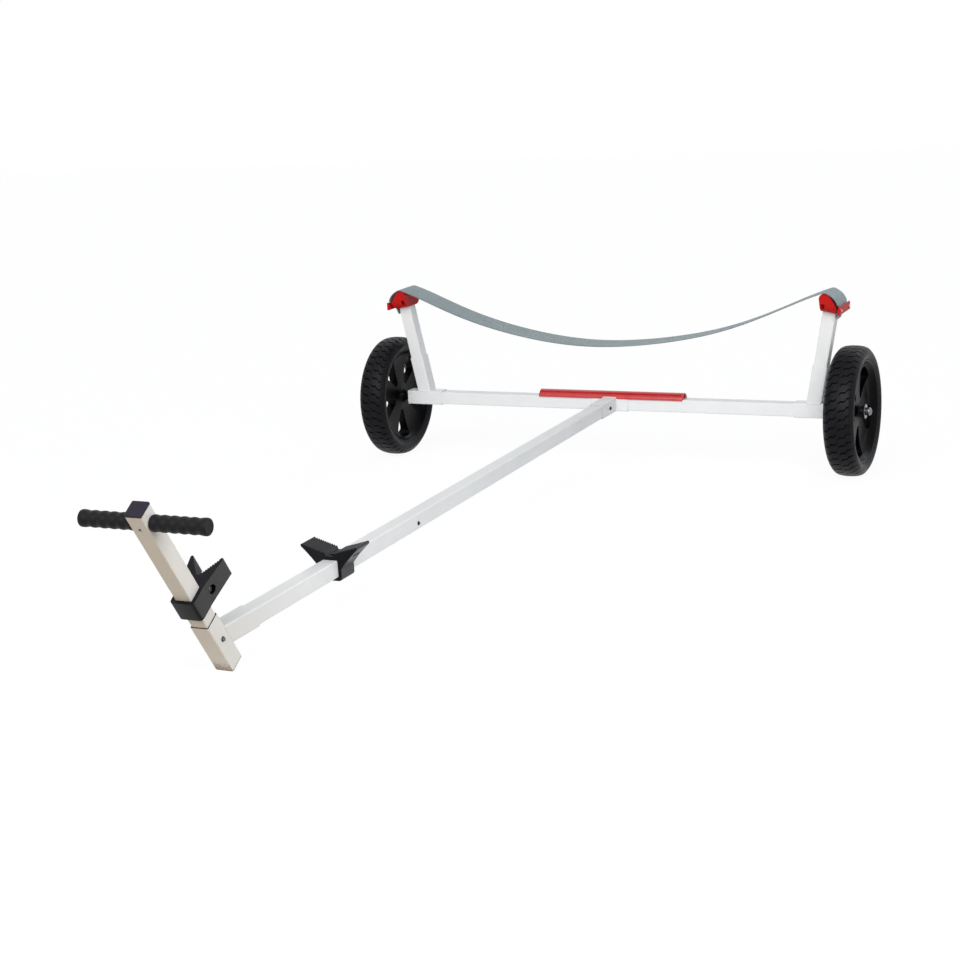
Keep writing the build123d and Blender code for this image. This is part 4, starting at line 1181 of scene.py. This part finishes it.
# %% [markdown]
# ## Axle ends
# A moulded plug closes the axle tube on each side, carries the stub axle, and its boss holds the
# wheel off the bracket.  Outside the hub sit a plated washer and the stub's domed head.
# %% Plugs, stub axles and washers
STUB_RADIUS, STUB_ROOT, STUB_TIP = 10.0, 620.0, 828.0
HUB_INNER, HUB_OUTER = 733.5, 807.5
SPACER_RADIUS = 14.0

plug_right = piece("axle_end_right", [
    (pushed(square_outline(SLEEVE / 2 - WALL - BORE_FIT, 1.6), AXLE_TUBE_HALF, BRACKET_OUTER), across(0)),
    (pushed(square_outline(TUBE / 2 - WALL - BORE_FIT, 1.4), STUB_ROOT, AXLE_TUBE_HALF + 1), across(0)),
    (turned([(BRACKET_OUTER - 1, SPACER_RADIUS + 1.5), (BRACKET_OUTER + 1.5, SPACER_RADIUS),
             (HUB_INNER - 0.5, SPACER_RADIUS)], 40), across(0)),
], chock_plastic, "black_moulding", ["axle_plugs"])
mirror_piece(plug_right, ["axle_plugs"])

stub_right = piece("stub_right", [
    (turned([(STUB_ROOT, STUB_RADIUS), (811.0, STUB_RADIUS), (811.0, 12.0), (811.6, 12.5), (820.0, 12.5),
             (822.5, 11.8), (825.0, 9.6), (827.0, 5.6), (STUB_TIP - 0.2, 1.5), (STUB_TIP, 0.2)], 48),
     across(0)),
], plated_steel, "steel", ["stub_axles"])
mirror_piece(stub_right, ["stub_axles"])
washer_profile = [(0.4, 10.4), (0.4, 21.4), (0.8, 22.0), (2.0, 22.0), (2.6, 21.2), (2.6, 10.4)]
washer = turned([(HUB_OUTER + z, r) for z, r in washer_profile], 56, loop=True)
washer_right = piece("hub_washer_right", [(washer, across(0))], plated_steel, "steel")
mirror_piece(washer_right)

# %% [markdown]
# ## Tyres
# The tyres are solid foam rubber with a moulded tread: two rows of blocks divided by a smooth
# groove round the middle, and thin cuts that climb round the tyre in two steps, beside the
# groove and near the shoulder.  The mesh's own columns follow that curve, so each cut has crisp
# walls with few faces.  Each pitch of the tread has a few columns in its cut and a few on its
# block.
# %% Tyre tread
WHEEL_RADIUS, PITCHES = 196.0, 46
CUT_WIDTH, CUT_DEPTH, GROOVE_HALF, GROOVE_DEPTH = 5.6, 6.0, 3.0, 1.2
TREAD_HALF = 34.5
PITCH_LENGTH = 2 * pi * WHEEL_RADIUS / PITCHES

# half of the tyre's section: distance from the middle, radius
section = [(0.0, 195.8), (8.0, 195.6), (15.0, 195.1), (21.0, 194.3), (27.0, 193.0), (33.0, 190.7),
           (37.0, 187.2), (40.0, 183.6), (43.0, 179.3), (45.2, 175.0), (45.6, 171.0), (44.9, 167.0),
           (43.0, 162.0), (40.6, 158.0), (39.2, 155.6), (38.2, 154.2)]


def crown_radius(distance):
    """Radius of the tread at a distance from the tyre's middle."""
    for (x0, r0), (x1, r1) in zip(section, section[1:]):
        if distance <= x1:
            return r0 + (r1 - r0) * (distance - x0) / (x1 - x0)
    return section[-1][1]


def eased(value, start, end):
    """0 before start, 1 after end and smooth between them."""
    share = min(1.0, max(0.0, (value - start) / (end - start)))
    return share * share * (3 - 2 * share)


def cut_offset(distance):
    """How far round the tyre a cut has climbed at this distance from the middle, in millimetres."""
    return 6.0 * eased(distance, GROOVE_HALF, 10.0) + 11.0 * eased(distance, 20.0, 29.0)


def cut_depth(distance):
    """Depth of a cut: it starts beside the middle groove and stays open at the shoulder."""
    return CUT_DEPTH * eased(distance, GROOVE_HALF + 0.6, GROOVE_HALF + 4.0)


columns = []          # (distance round one pitch, share of the cut's depth)
for at, deep in ((-CUT_WIDTH / 2, 0), (-CUT_WIDTH / 2 + 0.9, 0.85), (0, 1), (CUT_WIDTH / 2 - 0.9, 0.85),
                 (CUT_WIDTH / 2, 0)):
    columns.append((at, deep))
block = PITCH_LENGTH - CUT_WIDTH
columns += [(CUT_WIDTH / 2 + block * k / 6, 0) for k in range(1, 6)]

lateral = [d / 2 for d in range(4, 69, 3)] + [TREAD_HALF, 35.5]
tread_rows = [(GROOVE_HALF - 0.8, 1), (GROOVE_HALF, 0)] + [(d, 0) for d in lateral if d > GROOVE_HALF]
side_rows = [(x, r) for x, r in section if x > 36]


def tyre_ring(side, distance, radius, climb, depth):
    """One ring round the tyre; one side's cuts are half a pitch round from the other's."""
    shift = -side * climb + (PITCH_LENGTH / 2 if side < 0 else 0.0)
    ring = []
    for pitch in range(PITCHES):
        for at, deep in columns:
            angle = (pitch * PITCH_LENGTH + at + shift) / WHEEL_RADIUS
            reach = radius - deep * depth
            ring.append((reach * cos(angle), reach * sin(angle), side * distance))
    return ring


def tread_ring(side, distance, in_groove):
    """In the middle groove the ring is plain, and beside it the cuts go in."""
    radius = crown_radius(distance) - (GROOVE_DEPTH if in_groove else 0.0)
    depth = 0.0 if in_groove else cut_depth(distance)
    return tyre_ring(side, distance, radius, cut_offset(distance), depth)


def side_ring(side, distance, radius):
    """On the shoulder the cuts run out, and below it the wall is plain."""
    depth = CUT_DEPTH * (1 - eased(distance, 36.0, 42.0))
    return tyre_ring(side, distance, radius, cut_offset(TREAD_HALF), depth)


rings = [side_ring(-1, x, r) for x, r in reversed(side_rows)]
rings += [tread_ring(-1, x, g) for x, g in reversed(tread_rows)]
rings += [tread_ring(1, x, g) for x, g in tread_rows]
rings += [side_ring(1, x, r) for x, r in side_rows]
hub_right = plane(hubs["wheel_right"], Vector((0, 1, 0)), SIDEWAYS)
tyre_right = piece("tyre_tread_right", [(skin(rings, loop=True), hub_right)], tyre_rubber, "tyre",
                   ["tyre_right"], body="wheel_right", sharp=48)
mirror_piece(tyre_right, ["tyre_left"], body="wheel_left")

# %% [markdown]
# ## Rims
# The rim is one moulding: a hub, a deep dish with five scooped spokes, and a flared bead for the
# tyre.  The dish is spun from a profile, then five rounded windows are cut out of it.  Bevelled
# window edges give the spokes their rolled look.
# %% Rim with five windows
SPOKES = 5
half_profile = [(37.0, 10.05), (37.0, 14.5), (35.8, 16.0), (24.0, 18.0), (19.0, 22.0), (17.0, 30.0),
                (15.5, 45.0), (14.2, 60.0), (13.4, 80.0), (13.2, 100.0), (14.0, 118.0), (16.4, 130.0),
                (21.0, 138.0), (28.0, 144.5), (34.0, 148.0), (38.4, 150.2), (39.0, 151.4), (38.7, 153.9)]
rim_profile = half_profile + [(-z, r) for z, r in reversed(half_profile)]
WINDOW_INNER, WINDOW_OUTER, WINDOW_HALF_ANGLE = 46.0, 140.0, radians(17)
PAST_RIM = 60


def window_outline(turn):
    """A rounded window between two spokes, standing on the direction of turn."""
    half_in = WINDOW_INNER * sin(WINDOW_HALF_ANGLE) * 0.62
    half_out = WINDOW_OUTER * sin(WINDOW_HALF_ANGLE)
    corners = [(WINDOW_INNER, -half_in, 5.0), (WINDOW_OUTER - 5, -half_out, 13.0), (WINDOW_OUTER, 0.0, 90.0),
               (WINDOW_OUTER - 5, half_out, 13.0), (WINDOW_INNER, half_in, 5.0)]
    outline = rounded(corners, steps=6)
    return [(x * cos(turn) - y * sin(turn), x * sin(turn) + y * cos(turn)) for x, y in outline]


turns = [-pi / 2 + 2 * pi * k / SPOKES for k in range(SPOKES)]
windows = [(pushed(window_outline(turn), -PAST_RIM, PAST_RIM), hub_right) for turn in turns]
rim_right = piece("rim_five_spoke_right", [(turned(rim_profile, 120, loop=True), hub_right)], rim_plastic,
                  "rim_plastic", ["rim_right"], body="wheel_right", edge=2.2, cuts=windows, sharp=40,
                  segments=4)
mirror_piece(rim_right, ["rim_left"], body="wheel_left")

# %% [markdown]
# ## Bolts and rivets
# Small fasteners lock the tubes in their sockets: a hexagon bolt through the front socket, a
# dark bolt and a rivet at the drawbar's middle joint, one on the rear socket, and the screw that
# holds the grip bar.
# %% Fasteners


def hex_bolt(across_flats, thickness):
    """A hexagon head on a thin washer."""
    radius = across_flats / 2 / cos(pi / 6)
    corners = [(radius * cos(pi / 3 * k), radius * sin(pi / 3 * k)) for k in range(6)]
    outline = rounded(corners, 0.5, 3)
    top = [(x * 0.9, y * 0.9) for x, y in outline]
    levels = ((outline, 0.8), (outline, thickness - 0.7), (top, thickness))
    head = skin([at_height(ring, z) for ring, z in levels])
    return head, turned([(0.0, radius + 1.6), (0.7, radius + 1.6), (1.0, radius + 1.2)], 32)


def on_drawbar_side(ahead, above, socket=False):
    reach = SLEEVE / 2 if socket else TUBE / 2
    return plane(chassis_point(reach, ahead, above), forward, SIDEWAYS)


def fastener(name, head, placement, finish, also_left=True):
    made = piece(name, [(shape, placement) for shape in head], finish, "steel", sharp=30)
    if also_left:
        mirror_piece(made)


fastener("elbow_bolt_right", hex_bolt(8.0, 4.0), on_drawbar_side(DRAWBAR_LENGTH, -2.0, True), bolt_steel)
fastener("joint_bolt_right", hex_bolt(6.6, 3.4), on_drawbar_side(1389.0, -4.6), dark_bolt)
fastener("joint_rivet_right", (bolt_head(5.0, 0.8, socket=False),), on_drawbar_side(1494.0, -3.0),
         mill_aluminium)
fastener("tee_bolt_right", hex_bolt(8.0, 4.0), on_drawbar_side(75.0, -1.0, True), dark_bolt)
screw_at = post_section(BAR_HEIGHT + 0.5).translation - post_back * TUBE / 2 * MM
grip_screw = plane(screw_at, SIDEWAYS, -post_back)
fastener("grip_screw", (bolt_head(6.0, 1.4),), grip_screw, bolt_steel, also_left=False)

# %% [markdown]
# ## What stays from the CAD model
# The joiner inside the drawbar and the bare bar inside the grips are already the right shape,
# and hardly show, so those CAD pieces stay and only get a finish.
# %% Finishes on kept pieces
for node, finish in (("drawbar_joiner", mill_aluminium), ("handle_bar", bright_steel)):
    kept = frame["nodes"][node]
    kept.data.materials.clear()
    kept.data.materials.append(finish)
print("kept from the CAD model: drawbar_joiner, handle_bar")

# %% [markdown]
# ## Floor and light
# The trolley stands on a plain white floor that runs on behind it.  To the camera and in
# reflections the floor is pure white, except where the trolley shades it, because the floor
# mixes a plain white surface with a white glow for those rays.  Its true colour is warm and dark
# under the handle and in front of it, so that the handle's faces that look down at it pick up a
# beige tint, and a cool near-white further back.
# %% Floor
floor_mesh = bpy.data.meshes.new("floor")
FLOOR_HALF = 30.0
floor_corners = [(x * FLOOR_HALF, y * FLOOR_HALF, 0) for x, y in ((-1, -1), (1, -1), (1, 1), (-1, 1))]
floor_mesh.from_pydata(floor_corners, [], [(0, 1, 2, 3)])
floor = bpy.data.objects.new("floor", floor_mesh)
scene.collection.objects.link(floor)

floor_finish = bpy.data.materials.new("studio floor")
floor_finish.use_nodes = True
tree = floor_finish.node_tree
tree.nodes.clear()
floor_place = add_node(tree, "SeparateXYZ", Vector=add_node(tree, "NewGeometry").outputs["Position"])
behind = ramp(tree, floor_place.outputs["Y"], -1.3, -0.7)
tint = blend_colours(tree, behind, (0.38, 0.25, 0.10, 1), (0.84, 0.86, 0.90, 1))
paper = add_node(tree, "BsdfDiffuse", Color=tint)
lit_paper = add_node(tree, "BsdfDiffuse", Color=(0.9, 0.9, 0.9, 1))
glow = add_node(tree, "Emission", Color=(1, 1, 1, 1), Strength=1.04)
white = add_node(tree, "MixShader", _0=0.90, _1=lit_paper.outputs[0], _2=glow.outputs[0])
mixed = add_node(tree, "MixShader", _0=seen_directly(tree), _1=paper.outputs[0], _2=white.outputs[0])
add_node(tree, "OutputMaterial", Surface=mixed.outputs[0])
floor_mesh.materials.append(floor_finish)
print("floor is", 2 * FLOOR_HALF, "m across")

# %% World and lamps
world = bpy.data.worlds.new("studio")
scene.world = world
world.use_nodes = True
tree = world.node_tree
tree.nodes.clear()
sky = add_node(tree, "Background", Color=(0.95, 0.98, 1.04, 1), Strength=0.25)
backdrop = add_node(tree, "Background", Color=(1, 1, 1, 1), Strength=1.0)
mixed = add_node(tree, "MixShader", _0=seen_directly(tree), _1=sky.outputs[0], _2=backdrop.outputs[0])
add_node(tree, "OutputWorld", Surface=mixed.outputs[0])


def distant_lamp(name, towards, softness, strength, colour):
    """A lamp so far off that it lights both ends alike; towards is the direction to it."""
    light = bpy.data.lights.new(name, "SUN")
    light.angle, light.energy, light.color = radians(softness), strength, colour
    made = bpy.data.objects.new(name, light)
    scene.collection.objects.link(made)
    made.rotation_euler = Vector(towards).to_track_quat("Z", "Y").to_euler()


def soft_box(name, place, target, width, watts, colour):
    """A square lamp close by, which lights the handle's end more than the wheels."""
    light = bpy.data.lights.new(name, "AREA")
    light.shape, light.size, light.energy, light.color = "SQUARE", width, watts, colour
    made = bpy.data.objects.new(name, light)
    scene.collection.objects.link(made)
    made.location = place
    made.rotation_euler = (Vector(target) - Vector(place)).to_track_quat("-Z", "Y").to_euler()


distant_lamp("front", (0.05, -0.80, 0.56), 45, 1.82, (1.0, 1.0, 1.0))
distant_lamp("back", (0.25, 0.75, 0.60), 25, 0.32, (0.74, 0.88, 1.0))
soft_box("right", (2.0, -1.35, 1.4), (0, -1.0, 0.25), 1.4, 28.5, (1.0, 0.99, 0.97))
